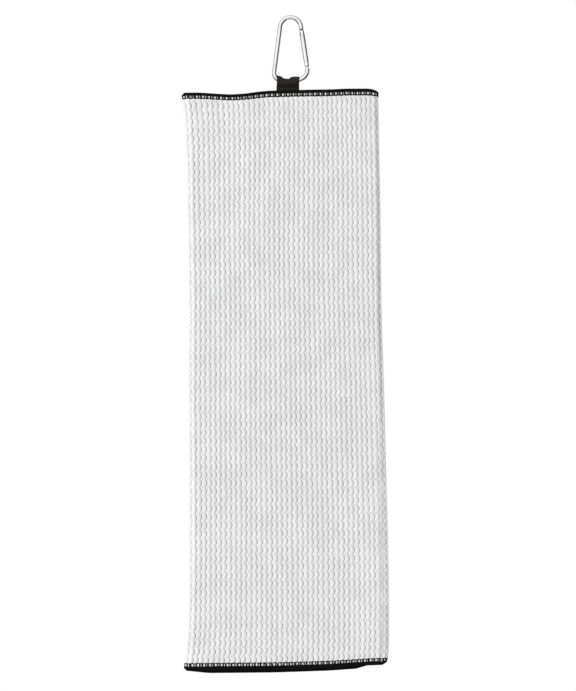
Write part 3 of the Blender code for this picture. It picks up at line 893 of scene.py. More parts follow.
@dataclass
class Waffle:
    """The waffle's cells and its relief.

    Each column of cells is closed by a groove. The groove bows to the right between two rows and is shallow
    where it meets a row; a rounded ridge follows it on the right, and a low pillow fills the rest. Widths and
    places in a cell are in cells, and heights are shares of the depth.
    """

    column: float = 0.0039865
    row: float = 0.00665
    depth: float = 0.00080
    bow: float = 0.36
    groove_depth: float = 0.95
    groove_width: float = 0.115
    ridge_place: float = 0.22
    ridge_width: float = 0.13
    pillow_height: float = 0.14
    pillow_place: float = 0.62
    pit_depth: float = 0.30
    pit_place: float = 0.23
    seam_depth: float = 0.16
    steps: tuple[float, ...] = (0.0, 0.10, 0.23, 0.45, 0.72, 0.89)
    coarse_steps: tuple[float, ...] = (0.0, 0.12, 0.30, 0.60, 0.87)
    rows_per_cell: int = 5
    coarse_rows_per_cell: int = 4

    def across(self, first: float, last: float, fine: bool) -> np.ndarray:
        """Column places from first to last, in cells, closest together at the grooves.

        Args:
            first: the first place.
            last: the last place.
            fine: whether the finer steps are used.

        Returns:
            The places, in order.
        """
        steps = self.steps if fine else self.coarse_steps
        whole = np.arange(math.floor(first), math.ceil(last) + 1)
        places = (whole[:, None] + np.array(steps)[None, :]).ravel()
        return places[(places >= first - 1e-6) & (places <= last + 1e-6)]

    def groove_line(self, columns: np.ndarray, rows: np.ndarray) -> np.ndarray:
        """How far the grooves bow to the right: bow * |sin(pi * row)|, kinked at each row, plus a wander."""
        wander = 0.045 * soft_noise(23, np.floor(columns + 0.5) * 1.7, rows * 0.9)
        return self.bow * np.abs(np.sin(math.pi * rows)) + wander

    def row_wander(self, columns: np.ndarray, rows: np.ndarray) -> np.ndarray:
        """How far the rows drift up and down, in rows: slowly over many cells, and a little in each."""
        local = 0.065 * soft_noise(37, np.floor(columns + 0.5) * 2.3, rows * 0.6)
        return 0.16 * soft_noise(31, columns * 0.10, rows * 0.07) + local

    def relief(self, columns: np.ndarray, rows: np.ndarray) -> np.ndarray:
        """Height above the cloth's face at a place in the pattern.

        The groove is a bell across its line, shallower where a row crosses it. The ridge is a wider bell on
        its right that swells at each row, and a small pit sits on it there. The pillow is a cosine across the
        cell, and the seam is a faint dip along each row, except on the ridge.

        Args:
            columns: places across, in cells.
            rows: places down, in rows.

        Returns:
            Heights in metres.
        """
        at_row, beside = past_whole(rows), past_whole(columns, self.ridge_place)
        cut = 0.60 * bell(at_row, 0.17) - self.groove_depth
        groove = cut * bell(past_whole(columns), self.groove_width)
        ridge = (0.22 + 0.34 * bell(at_row, 0.24)) * bell(beside, self.ridge_width)
        pillow = self.pillow_height * np.cos(FULL_TURN * (columns - self.pillow_place))
        pit = self.pit_depth * bell(past_whole(columns, self.pit_place), 0.07) * bell(at_row, 0.06)
        seam = self.seam_depth * bell(at_row, 0.09) * (1.0 - bell(beside, 0.2))
        return self.depth * (groove + ridge + pillow - pit - seam)


class Face(Enum):
    """Which faces of a run of cloth are seen and so carry the fine relief."""

    OUTER = "outer"
    BOTH = "both"


@dataclass
class ClothRun:
    """One closed run of the towel's cloth between two columns of cells, with its overlocked edges."""

    name: str
    cloth: FoldedCloth
    waffle: Waffle
    first: float
    last: float
    fine: bool
    face: Face
    trim: float = 0.0009
    flat_margin: tuple[float, float] = (0.0042, 0.0068)
    thin_margin: tuple[float, float] = (0.0022, 0.0052)

    def surface(self, columns: np.ndarray, rows: np.ndarray, side: float,
                plain: bool = False) -> tuple[np.ndarray, np.ndarray]:
        """One face of the cloth on a grid of cell places; near the edges the relief flattens and it thins.

        Args:
            columns: column places, in cells.
            rows: row places, in cells, measured down from the top edge.
            side: 1 for the outer face and -1 for the inner face.
            plain: whether the face is left smooth.

        Returns:
            Points and pattern coordinates, both of shape (rows, columns, 3).
        """
        u, v = np.meshgrid(columns, rows)
        down, phase = v * self.waffle.row, v + self.waffle.row_wander(u, v)
        along = (u + self.waffle.groove_line(u, phase)) * self.waffle.column
        out = np.full_like(u, side * self.cloth.half)
        if not plain:
            edge = np.minimum(down, TOWEL_LENGTH - down)
            height = self.waffle.relief(u, phase) * (0.30 + 0.70 * smoothstep(*self.flat_margin, edge))
            out = side * (self.cloth.half + height) * (0.62 + 0.38 * smoothstep(*self.thin_margin, edge))
        return self.cloth.place(along, down, out), np.stack([u, phase, np.full_like(u, side)], axis=-1)

    def build(self) -> bpy.types.Object:
        """Make the closed sheet: two faces of the same grid, joined round their rim.

        Returns:
            The sheet.
        """
        waffle = self.waffle
        per_cell = waffle.rows_per_cell if self.fine else waffle.coarse_rows_per_cell
        step = len(waffle.steps if self.fine else waffle.coarse_steps)
        columns = waffle.across(self.first, self.last, self.fine)
        first_row, last_row = self.trim / waffle.row, (TOWEL_LENGTH - self.trim) / waffle.row
        rows = np.linspace(first_row, last_row, round(last_row - first_row) * per_cell + 1)
        wide, high = len(columns), len(rows)
        back_columns, back_rows = np.arange(wide), np.arange(high)
        if self.face is Face.OUTER:
            back_columns = np.unique(np.append(np.arange(0, wide, step), wide - 1))
            back_rows = np.arange(0, high, per_cell)
        shell = Shell()
        points, pattern = self.surface(columns, rows, 1.0)
        shell.add(points, [grid_faces(high, wide)], pattern)
        behind = shell.count
        points, pattern = self.surface(columns[back_columns], rows[back_rows], -1.0, self.face is Face.OUTER)
        shell.add(points, [grid_faces(len(back_rows), len(back_columns))], pattern)
        shell.faces += self.rim(wide, high, back_columns, back_rows, behind)
        return shell.build(self.name)

    def rim(self, wide: int, high: int, back_columns: np.ndarray, back_rows: np.ndarray,
            behind: int) -> list[np.ndarray]:
        """Faces that close the rim between the fine face and the back face, which may be coarser.

        Args:
            wide: columns of the front grid.
            high: rows of the front grid.
            back_columns: the front columns that the back grid has too.
            back_rows: the front rows that the back grid has too.
            behind: number of the back grid's first vertex.

        Returns:
            Arrays of faces, one for each count of corners.
        """
        faces: dict[int, list[list[int]]] = {}
        back_wide = len(back_columns)
        across, downwards = np.arange(back_wide), np.arange(len(back_rows)) * back_wide
        for front, kept, back in (
                (np.arange(wide), back_columns, across),
                ((high - 1) * wide + np.arange(wide), back_columns, downwards[-1] + across),
                (np.arange(high) * wide, back_rows, downwards),
                (np.arange(high) * wide + wide - 1, back_rows, downwards + back_wide - 1)):
            for near, (start, end) in enumerate(zip(kept[:-1], kept[1:])):
                corners = [*front[start:end + 1], behind + back[near + 1], behind + back[near]]
                faces.setdefault(len(corners), []).append([int(corner) for corner in corners])
        return [np.array(group) for group in faces.values()]

    def declare(self, piece: bpy.types.Object, trims: list[bpy.types.Object]) -> None:
        """Turn the edging into a list, and keep nothing."""
        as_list(trims)


# ---------------------------------------------------------------- the overlocked edges

class Edge(Enum):
    """Which edge of the cloth a binding runs along."""

    TOP = "top"
    BOTTOM = "bottom"
    INNER_END = "inner_side"
    OUTER_END = "outer_side"


@dataclass
class Overlock:
    """Black overlock stitching over one stretch of edge: a dense band of thread, and loops beyond it."""

    name: str
    cloth: FoldedCloth
    edge: Edge
    start: float
    end: float
    faces: tuple[float, ...]
    seed: int
    stitch: float = 0.0022
    band: float = 0.0023
    reach: float = 0.0046
    slant: float = 0.04
    overhang: float = 0.0003
    half: float = 0.00132
    squareness: float = 0.55
    band_lean: float = 0.00035
    thread: float = 0.00042
    flatness: float = 0.7
    tuck: float = 0.0004
    ridges: int = 3
    sides: int = 6

    def place(self, run: np.ndarray, inward: np.ndarray, out: np.ndarray) -> np.ndarray:
        """Places in space.

        Args:
            run: distances along the edge.
            inward: distances in from the edge.
            out: distances out of the cloth's middle.

        Returns:
            Points of shape (..., 3).
        """
        if self.edge is Edge.TOP:
            return self.cloth.place(run, inward, out)
        if self.edge is Edge.BOTTOM:
            return self.cloth.place(run, TOWEL_LENGTH - inward, out)
        if self.edge is Edge.INNER_END:
            return self.cloth.place(self.cloth.inner_end - inward, run, out)
        return self.cloth.place(self.cloth.outer_end + inward, run, out)

    def add_band(self, shell: Shell) -> None:
        """Add the dense band: a rounded box profile with a ridge for each turn of thread.

        The profile is inward = middle + width * c^squareness and out = height * s^squareness, with c and s
        the cosine and sine round it, both with their signs kept. It swells by |sin|^0.7 along the edge.

        Args:
            shell: the shell to add to.
        """
        count = max(4, round((self.end - self.start) / self.stitch) * self.ridges * 4)
        run = np.linspace(self.start, self.end, count + 1)
        turn = np.linspace(0.0, FULL_TURN, 15)[:-1] + 0.11
        across = (self.band + self.overhang) / 2 * squared_off(np.cos(turn), self.squareness)
        out = self.half * squared_off(np.sin(turn), self.squareness)
        ridge = np.abs(np.sin(math.pi * run / self.stitch * self.ridges)) ** 0.7
        swell = (0.90 + 0.10 * ridge + 0.025 * soft_noise(self.seed + 3, run * 900.0))[:, None]
        points = self.place(run[:, None] + self.band_lean * np.sin(turn),
                            (self.band - self.overhang) / 2 + across * (0.96 + 0.04 * swell), out * swell)
        around = np.broadcast_to(turn * self.half, points.shape[:2])
        pattern = np.stack([np.broadcast_to(run[:, None], around.shape), around, around * 0.0], axis=-1)
        shell.add(points, tube_faces(count + 1, len(turn)), pattern)

    def laid_on(self, rings: np.ndarray, side: float) -> np.ndarray:
        """Rings of thread drawn flat as (run, inward, out), laid on a face of the band."""
        return self.place(rings[..., 0], rings[..., 1], side * (self.half_cloth() + rings[..., 2]))

    def half_cloth(self) -> float:
        """How far from the cloth's middle the thread lies: just inside its face."""
        return self.cloth.half * 0.92

    def add_loops(self, shell: Shell, side: float) -> None:
        """Add one thread loop for each stitch: a long arch that leaves the band, turns and comes back.

        The arch is run = middle + half * cos^0.62 and inward = foot + height * sin^0.75 over half a turn.
        Wide tall loops alternate with narrow low ones.

        Args:
            shell: the shell to add to.
            side: 1 for the outer face of the cloth and -1 for the inner face.
        """
        draw = np.random.default_rng(self.seed + (7 if side > 0 else 8))
        number = np.arange(math.ceil(self.start / self.stitch), math.floor(self.end / self.stitch))
        paired = np.where(number % 2 == 0, 1.0, -1.0)
        middles = (number + 0.5) * self.stitch + draw.normal(0.0, 0.00007, len(number)) + 0.00012 * paired
        heights = (self.reach - self.band) * (0.96 + 0.05 * paired + draw.normal(0.0, 0.05, len(number)))
        slants = self.slant + draw.normal(0.0, 0.03, len(number))
        turn = np.linspace(0.0, math.pi, 10)
        across = ((0.455 + 0.085 * paired) * self.stitch)[:, None] * squared_off(np.cos(turn), 0.62)
        inward = self.band - self.tuck + (heights[:, None] + self.tuck) * np.sin(turn) ** 0.75
        run = middles[:, None] + across + slants[:, None] * (inward - self.band)
        flat = np.stack([run, inward, np.zeros_like(run)], axis=-1)
        ahead = directions(flat, axis=1)
        normal = np.stack([-ahead[..., 1], ahead[..., 0], np.zeros_like(run)], axis=-1)
        rings = tube_sections(flat, normal, (0.0, 0.0, 1.0), self.thread, self.sides, self.flatness)
        length = np.broadcast_to(np.linspace(0.0, 0.006, len(turn))[:, None], rings.shape[:3])
        angle = np.arange(self.sides) * self.thread + number[:, None, None] * 0.01
        pattern = np.stack([length, np.broadcast_to(angle, length.shape), np.zeros_like(length)], axis=-1)
        offsets = (np.arange(len(number)) * len(turn) * self.sides)[:, None, None]
        faces = [(group + offsets).reshape(-1, group.shape[1]) for group in tube_faces(len(turn), self.sides)]
        shell.add(self.laid_on(rings, side), faces, pattern)

    def add_needle_line(self, shell: Shell, side: float) -> None:
        """Add the thread that locks the loops down, just inside their tips, with a slight dip at each stitch.

        Args:
            shell: the shell to add to.
            side: 1 for the outer face of the cloth and -1 for the inner face.
        """
        count = max(6, round((self.end - self.start) / self.stitch) * 3)
        run = np.linspace(self.start, self.end, count + 1)
        dip = 0.00010 * np.cos(FULL_TURN * run / self.stitch)
        flat = np.stack([run, self.reach - 0.00015 + dip, dip], axis=-1)
        rings = tube_sections(flat, np.array([0.0, 1.0, 0.0]), (0.0, 0.0, 1.0), self.thread, self.sides,
                              self.flatness)
        pattern = np.stack([rings[..., 0], rings[..., 1], np.zeros(rings.shape[:2])], axis=-1)
        shell.add(self.laid_on(rings, side), tube_faces(count + 1, self.sides), pattern)

    def build(self) -> bpy.types.Object:
        """Make the whole edging of this stretch as one piece.

        Returns:
            The edging.
        """
        shell = Shell()
        self.add_band(shell)
        for side in self.faces:
            self.add_loops(shell, side)
            self.add_needle_line(shell, side)
        return shell.build(self.name)


# ---------------------------------------------------------------- the towel

@dataclass
class Towel:
    """The folded towel: the runs of its cloth, the fold that joins the outer third, and every edge."""

    finishes: Finishes
    cloth: FoldedCloth = field(default_factory=FoldedCloth)
    waffle: Waffle = field(default_factory=Waffle)
    fold_cells: float = 3.0
    front_cells: float = 39.0
    end_trim: float = 0.0010
    side_trim: float = 0.0006
    bottom_stitch: tuple[float, float, float] = (0.0034, 0.0056, -0.10)

    def cloth_run(self, name: str, first: float, last: float, fine: bool,
                  face: Face) -> tuple[ClothRun, bpy.types.Object]:
        """Make one run of cloth and dress it.

        Args:
            name: the piece's name.
            first: first column place, in cells.
            last: last column place, in cells.
            fine: whether it takes the finer grid.
            face: which faces are seen.

        Returns:
            The run and its object.
        """
        run = ClothRun(name, self.cloth, self.waffle, first, last, fine, face)
        piece = run.build()
        self.finishes.cloth.dress(piece)
        return run, piece

    def edging(self, part: str, edge: Edge, start: float, end: float, faces: tuple[float, ...],
               seed: int) -> bpy.types.Object:
        """Make one stretch of overlocked edge and dress it.

        Args:
            part: the start of the piece's name.
            edge: the edge that it binds.
            start: where it starts along the edge.
            end: where it ends.
            faces: the faces that its loops lie on, 1 for the outer and -1 for the inner.
            seed: number that picks its irregularities.

        Returns:
            The piece.
        """
        overlock = Overlock(f"{part}_overlock", self.cloth, edge, start, end, faces, seed)
        if edge is Edge.BOTTOM:
            overlock.band, overlock.reach, overlock.slant = self.bottom_stitch
        piece = overlock.build()
        self.finishes.thread.dress(piece)
        return piece

    def hems(self, part: str, start: float, end: float, faces: tuple[float, ...],
             seed: int) -> list[bpy.types.Object]:
        """Make the top and the bottom edging of one run, with what edging takes."""
        return [self.edging(f"{part}_top", Edge.TOP, start, end, faces, seed),
                self.edging(f"{part}_bottom", Edge.BOTTOM, start, end, faces, seed + 10)]

    def end_hem(self, edge: Edge, faces: tuple[float, ...], seed: int) -> bpy.types.Object:
        """Make the edging of one of the towel's ends, which hang behind as upright edges."""
        return self.edging(edge.value, edge, self.side_trim, TOWEL_LENGTH - self.side_trim, faces, seed)

    def build(self) -> None:
        """Make every run and edge, and tie each to its body, except the left fold's, whose transforms are
        only baked.
        """
        cell = self.waffle.column
        fold, seam = -self.fold_cells * cell, self.front_cells * cell
        inner_end, outer_end = self.cloth.inner_end, self.cloth.outer_end
        last, first = (inner_end - self.end_trim) / cell, (outer_end + self.end_trim) / cell
        outside, both = (1.0,), (1.0, -1.0)
        front = self.cloth_run("front_cloth", 0.0, self.front_cells, True, Face.OUTER)
        web = self.cloth_run("left_fold_cloth", -self.fold_cells, 0.0, True, Face.BOTH)
        inner = self.cloth_run("inner_cloth", self.front_cells, last, False, Face.OUTER)
        outer = self.cloth_run("outer_cloth", first, -self.fold_cells, False, Face.BOTH)
        front_trims = self.hems("front", 0.0, seam, outside, 100)
        web_trims = self.hems("fold", fold, 0.0, both, 120)
        inner_trims = [*self.hems("inner", seam, inner_end, outside, 140),
                       self.end_hem(Edge.INNER_END, outside, 160)]
        outer_trims = [*self.hems("outer", outer_end, fold, both, 170),
                       self.end_hem(Edge.OUTER_END, both, 190)]
        for (run, piece), trims, body, node in ((front, front_trims, "towel", "front_panel"),
                                                (web, web_trims, None, "front_panel"),
                                                (inner, inner_trims, "towel", "inner_flap"),
                                                (outer, outer_trims, "flap", "outer_flap")):
            if body is None:
                self.join(piece, trims)
            else:
                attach(piece, body)
                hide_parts(node)
                for trim in trims:
                    edging = trim.name.replace("overlock", "edging")
                    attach(trim, body)
                    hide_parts(edging)
            run.declare(piece, trims)

    def join(self, piece: bpy.types.Object, trims: list[bpy.types.Object]) -> None:
        """Bake the transforms of the left fold and its edging into their meshes.

        Args:
            piece: the fold's cloth.
            trims: its edging.
        """
        for each in (piece, *trims):
            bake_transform(each)
        for trim in trims:
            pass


# ---------------------------------------------------------------- the carabiner

@dataclass
class Carabiner:
    """The bent rod, its spring gate and its pins, in the plane of X and Z."""

    finishes: Finishes
    rod: float = 0.0017
    top_radius: float = 0.0083
    spine_lean: float = math.radians(7.4)
    gate_lean: float = math.radians(8.66)
    spine_corner_depth: float = 0.0458
    gate_corner_depth: float = 0.0450
    low_point: tuple[float, float] = (-0.0025, -0.0510)
    corner_radii: tuple[float, float, float] = (0.0055, 0.0180, 0.0080)
    bend_share: float = 0.97
    gate: float = 0.00195
    pivot_depth: float = 0.0360
    nose_depth: float = 0.0079
    gap: float = 0.0003
    nose_gap: float = 0.0005
    lug: float = 0.0013
    hole_space: float = 0.00012
    latch_pin: float = 0.0005
    tang: float = 0.0015
    cam_rise: float = 0.0005
    cam_turn: float = math.radians(50.0)
    rod_sides: int = 40
    end_ease: float = 0.00025
    gate_sides: int = 56
    gate_edge: float = 0.00009
    crisp: float = 40.0
    tang_slot: float = 0.0024
    latch_drop: float = 0.0020
    hook_width: float = 0.0024
    hook_tip: float = 0.0007

    def __post_init__(self) -> None:
        """Work out the straight runs, the pivot and the nose."""
        self.top_centre = np.array([0.0, self.rod - self.top_radius])
        self.spine_tangent = self.top_centre + self.top_radius * np.array([-math.cos(self.spine_lean),
                                                                           math.sin(self.spine_lean)])
        self.gate_tangent = self.top_centre + self.top_radius * np.array([math.cos(self.gate_lean),
                                                                          math.sin(self.gate_lean)])
        self.pivot = self.on_gate(self.pivot_depth)
        self.nose = self.on_gate(self.nose_depth)
        self.nose_height = float(np.linalg.norm(self.nose - self.pivot))
        self.gate_length = self.nose_height - self.nose_gap
        self.latch_height = self.nose_height - self.latch_drop
        self.shoulder = self.gate + self.gap + 0.0001

    def on_gate(self, depth: float) -> np.ndarray:
        """The point of the gate's line at a depth."""
        side = self.gate_tangent[0] + (self.gate_tangent[1] + depth) * math.tan(self.gate_lean)
        return np.array([side, -depth])

    def on_spine(self, depth: float) -> np.ndarray:
        """The point of the spine's line at a depth."""
        side = self.spine_tangent[0] - (self.spine_tangent[1] + depth) * math.tan(self.spine_lean)
        return np.array([side, -depth])

    def bend(self, before: np.ndarray, corner: np.ndarray, after: np.ndarray, radius: float) -> np.ndarray:
        """The arc that rounds a corner of the rod's line.

        Args:
            before: a point of the line before the corner.
            corner: the corner.
            after: a point of the line after it.
            radius: the arc's radius, which is smaller where there is no room for it.

        Returns:
            Points of the arc, shape (25, 2).
        """
        inward = (before - corner) / np.linalg.norm(before - corner)
        outward = (after - corner) / np.linalg.norm(after - corner)
        half = math.acos(float(np.clip(inward @ outward, -1, 1))) / 2
        room = min(np.linalg.norm(before - corner), np.linalg.norm(after - corner))
        radius = min(radius, self.bend_share * room * math.tan(half))
        middle = (inward + outward) / np.linalg.norm(inward + outward)
        centre = corner + middle * radius / math.sin(half)
        first = corner + inward * radius / math.tan(half) - centre
        last = corner + outward * radius / math.tan(half) - centre
        start = math.atan2(first[1], first[0])
        sweep = (math.atan2(last[1], last[0]) - start + math.pi) % (2 * math.pi) - math.pi
        turn = np.linspace(start, start + sweep, 25)[:, None]
        return centre + radius * np.concatenate([np.cos(turn), np.sin(turn)], axis=1)

    def bar_line(self) -> np.ndarray:
        """The rod's line from the spine's lower corner to the gate's shoulder.

        Returns:
            Points of the line, shape (n, 2).
        """
        along_gate = np.array([math.sin(self.gate_lean), -math.cos(self.gate_lean)])
        end = self.pivot + self.shoulder * along_gate
        spine_corner = self.on_spine(self.spine_corner_depth)
        gate_corner = self.on_gate(self.gate_corner_depth)
        low = np.array(self.low_point)
        first, middle, last = self.corner_radii
        return np.concatenate([self.bend(self.spine_tangent, spine_corner, low, first),
                               self.bend(spine_corner, low, gate_corner, middle),
                               self.bend(low, gate_corner, end, last), end[None, :]])

    def rod_line(self) -> np.ndarray:
        """The rod's whole line: the nose, a half circle over the top, the spine and the bar.

        Returns:
            Evenly spaced points, shape (420, 2).
        """
        turn = np.linspace(self.gate_lean, math.pi - self.spine_lean, 61)[:, None]
        top = self.top_centre + self.top_radius * np.concatenate([np.cos(turn), np.sin(turn)], axis=1)
        line = np.concatenate([self.nose[None, :], top, self.bar_line()])
        run = np.concatenate([[0.0], np.cumsum(np.linalg.norm(np.diff(line, axis=0), axis=1))])
        even = np.linspace(0.0, run[-1], 420)
        return np.stack([np.interp(even, run, line[:, 0]), np.interp(even, run, line[:, 1])], axis=1)

    def on_gate_frame(self, points: np.ndarray) -> np.ndarray:
        """Turn points drawn about the pivot, with Z along the gate, into their place."""
        x, y, z = points[..., 0], points[..., 1], points[..., 2]
        c, s = math.cos(self.gate_lean), math.sin(self.gate_lean)
        return np.stack([self.pivot[0] + c * x - s * z, y, self.pivot[1] + s * x + c * z], axis=-1)

    def plate(self, shell: Shell, outline: np.ndarray) -> None:
        """Add a flat lug: an outline carried to both sides of the gate's plane.

        Args:
            shell: the shell to add to.
            outline: points across and along the gate, shape (n, 2).
        """
        count = len(outline)
        sides = [np.stack([outline[:, 0], np.full(count, y), outline[:, 1]], axis=1)
                 for y in (-self.lug / 2, self.lug / 2)]
        shell.add(self.on_gate_frame(np.concatenate(sides)), tube_faces(2, count))

    def with_painted_shade(self) -> BrightMetal:
        """The satin finish with shade painted dark in the gap at the gate's free end and at the sides of its
        slot.
        """
        painted_gate_shade = PaintedGateShade(tuple(self.pivot), self.gate_lean, self.nose_height - self.nose_gap / 2,
                      self.latch_height - 0.0030, self.gate_length - 0.0009)
        return BrightMetal(Polish.SATIN, painted_gate_shade=painted_gate_shade)

    def build_rod(self) -> bpy.types.Object:
        """Make the rod: circles carried along its line, closed by eased ends, with the tang and the hook.

        The tang's end is a half circle whose radius grows to cam_turn past the middle and then falls back.

        Returns:
            The rod.
        """
        line = self.rod_line()
        ahead = directions(line)
        path = np.stack([line[:, 0], np.zeros(len(line)), line[:, 1]], axis=1)
        across = np.stack([-ahead[:, 1], np.zeros(len(line)), ahead[:, 0]], axis=1)
        rings = tube_sections(path, across, (0.0, 1.0, 0.0), self.rod, self.rod_sides)
        for place, inset in ((0, self.end_ease), (1, 0.3 * self.end_ease),
                             (-1, self.end_ease), (-2, 0.3 * self.end_ease)):
            rings[place] = path[place] + (rings[place] - path[place]) * (1.0 - inset / self.rod)
        shell = Shell()
        shell.add(rings, tube_faces(len(path), self.rod_sides))
        turn = np.radians(np.linspace(-90.0, 90.0, 37))
        rise = self.cam_rise * np.clip(turn, 0.0, self.cam_turn)
        fall = np.clip(turn - self.cam_turn, 0.0, None) / (math.pi / 2 - self.cam_turn)
        radius = self.tang + rise * (1.0 - fall)
        cam = np.stack([-radius * np.sin(turn), radius * np.cos(turn)], axis=1)
        root = -self.shoulder - self.rod
        self.plate(shell, np.concatenate([[(-self.tang, root), (self.tang, root)], cam]))
        half, notch = self.hook_width / 2, self.latch_pin + self.hole_space
        turn = np.radians(np.linspace(90.0, -90.0, 13))
        round_notch = np.stack([notch * np.cos(turn), self.latch_height + notch * np.sin(turn)], axis=1)
        tip, high = self.latch_height - notch - self.hook_tip, self.nose_height + self.rod
        self.plate(shell, np.concatenate([[(-half, high), (-half, self.latch_height + notch)], round_notch,
                                          [(-half, self.latch_height - notch), (-half, tip), (half, tip),
                                           (half, high)]]))
        piece = shell.build("carabiner_rod", self.crisp)
        self.with_painted_shade().dress(piece)
        return piece

    def cutter(self, name: str, low: tuple[float, float, float],
               high: tuple[float, float, float]) -> bpy.types.Object:
        """Make a box to cut with.

        Args:
            name: the box's name.
            low: its lowest corner, in the gate's frame.
            high: its highest corner.

        Returns:
            The box.
        """
        shell = Shell()
        corners = np.array([[(low, high)[(i >> axis) & 1][axis] for axis in range(3)] for i in range(8)])
        quads = np.array([[0, 2, 3, 1], [4, 5, 7, 6], [0, 1, 5, 4], [2, 6, 7, 3], [0, 4, 6, 2], [1, 3, 7, 5]])
        shell.add(self.on_gate_frame(corners), [quads])
        return shell.build(name)

    def sleeve(self) -> bpy.types.Object:
        """Make the gate's round sleeve: a profile turned about its axis, domed below the pivot.

        Returns:
            The uncut sleeve.
        """
        dome = np.radians(np.linspace(-90.0, 0.0, 15))
        straight = np.linspace(0.0, self.gate_length - 0.0003, 12)[1:]
        heights = np.concatenate([self.gate * np.sin(dome), straight,
                                  [self.gate_length - 0.0001, self.gate_length]])
        shares = [np.sqrt(np.clip(np.cos(dome), 0.0, None)), np.ones(11), [0.97, 0.90]]
        radii = self.gate * np.concatenate(shares)
        radii[0] = self.gate * 0.22
        turn = np.arange(self.gate_sides) * FULL_TURN / self.gate_sides
        rings = np.stack([radii[:, None] * np.cos(turn), radii[:, None] * np.sin(turn),
                          np.broadcast_to(heights[:, None], (len(heights), self.gate_sides))], axis=-1)
        shell = Shell()
        shell.add(self.on_gate_frame(rings), tube_faces(len(heights), self.gate_sides))
        return shell.build("gate_sleeve", self.crisp)

    def build_gate(self) -> bpy.types.Object:
        """Make the gate: its sleeve, slotted at both ends, with soft edges and painted shade on the slots'
        cut faces.

        Returns:
            The gate.
        """
        piece = self.sleeve()
        slot, wide = self.lug / 2 + self.gap, self.gate * 2
        hook_end = self.latch_height - self.latch_pin - self.hole_space - self.hook_tip - self.gap
        cutters = [self.cutter("tang_cut", (-wide, -slot, -wide), (wide, slot, self.tang_slot)),
                   self.cutter("hook_cut", (-wide, -slot, hook_end), (wide, slot, self.nose_height + wide))]
        # The slots' cut faces take a dark grey: painted shade inside the slots.
        cut_shade = BrightMetal(Polish.PAINTED_CUT_SHADE).material("gate_cut_painted_shade")
        self.with_painted_shade().dress(piece)
        for cut in cutters:
            cut.data.materials.append(cut_shade)
            step = piece.modifiers.new(cut.name, "BOOLEAN")
            step.solver = "EXACT"
            step.object = cut
        soft = piece.modifiers.new("soft_edges", "BEVEL")
        soft.width = self.gate_edge
        soft.segments = 2
        soft.limit_method = "ANGLE"
        bpy.context.view_layer.update()
        cut_mesh = bpy.data.meshes.new_from_object(piece.evaluated_get(bpy.context.evaluated_depsgraph_get()))
        piece.modifiers.clear()
        piece.data = cut_mesh
        for cut in cutters:
            bpy.data.objects.remove(cut, do_unlink=True)
        piece.data.shade_smooth()
        piece.data.set_sharp_from_angle(angle=math.radians(self.crisp))
        return piece

    def build(self) -> None:
        """Make the rod and the gate, and dress the pins, the plunger and the spring."""
        rod, gate = self.build_rod(), self.build_gate()
        for piece, body, node in ((rod, "carabiner", "carabiner_body"), (gate, "gate", "carabiner_gate")):
            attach(piece, body)
            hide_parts(node)
        for node, finish in (("gate_hinge_pin", self.finishes.steel), ("gate_latch_pin", self.finishes.steel),
                             ("spring_plunger", self.finishes.steel), ("gate_spring", self.finishes.spring)):
            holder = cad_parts[node]
            holder.data.materials.clear()
            holder.data.materials.append(finish.material(node))
            LOG.info("%s: dressed", node)


# ---------------------------------------------------------------- the ribbon

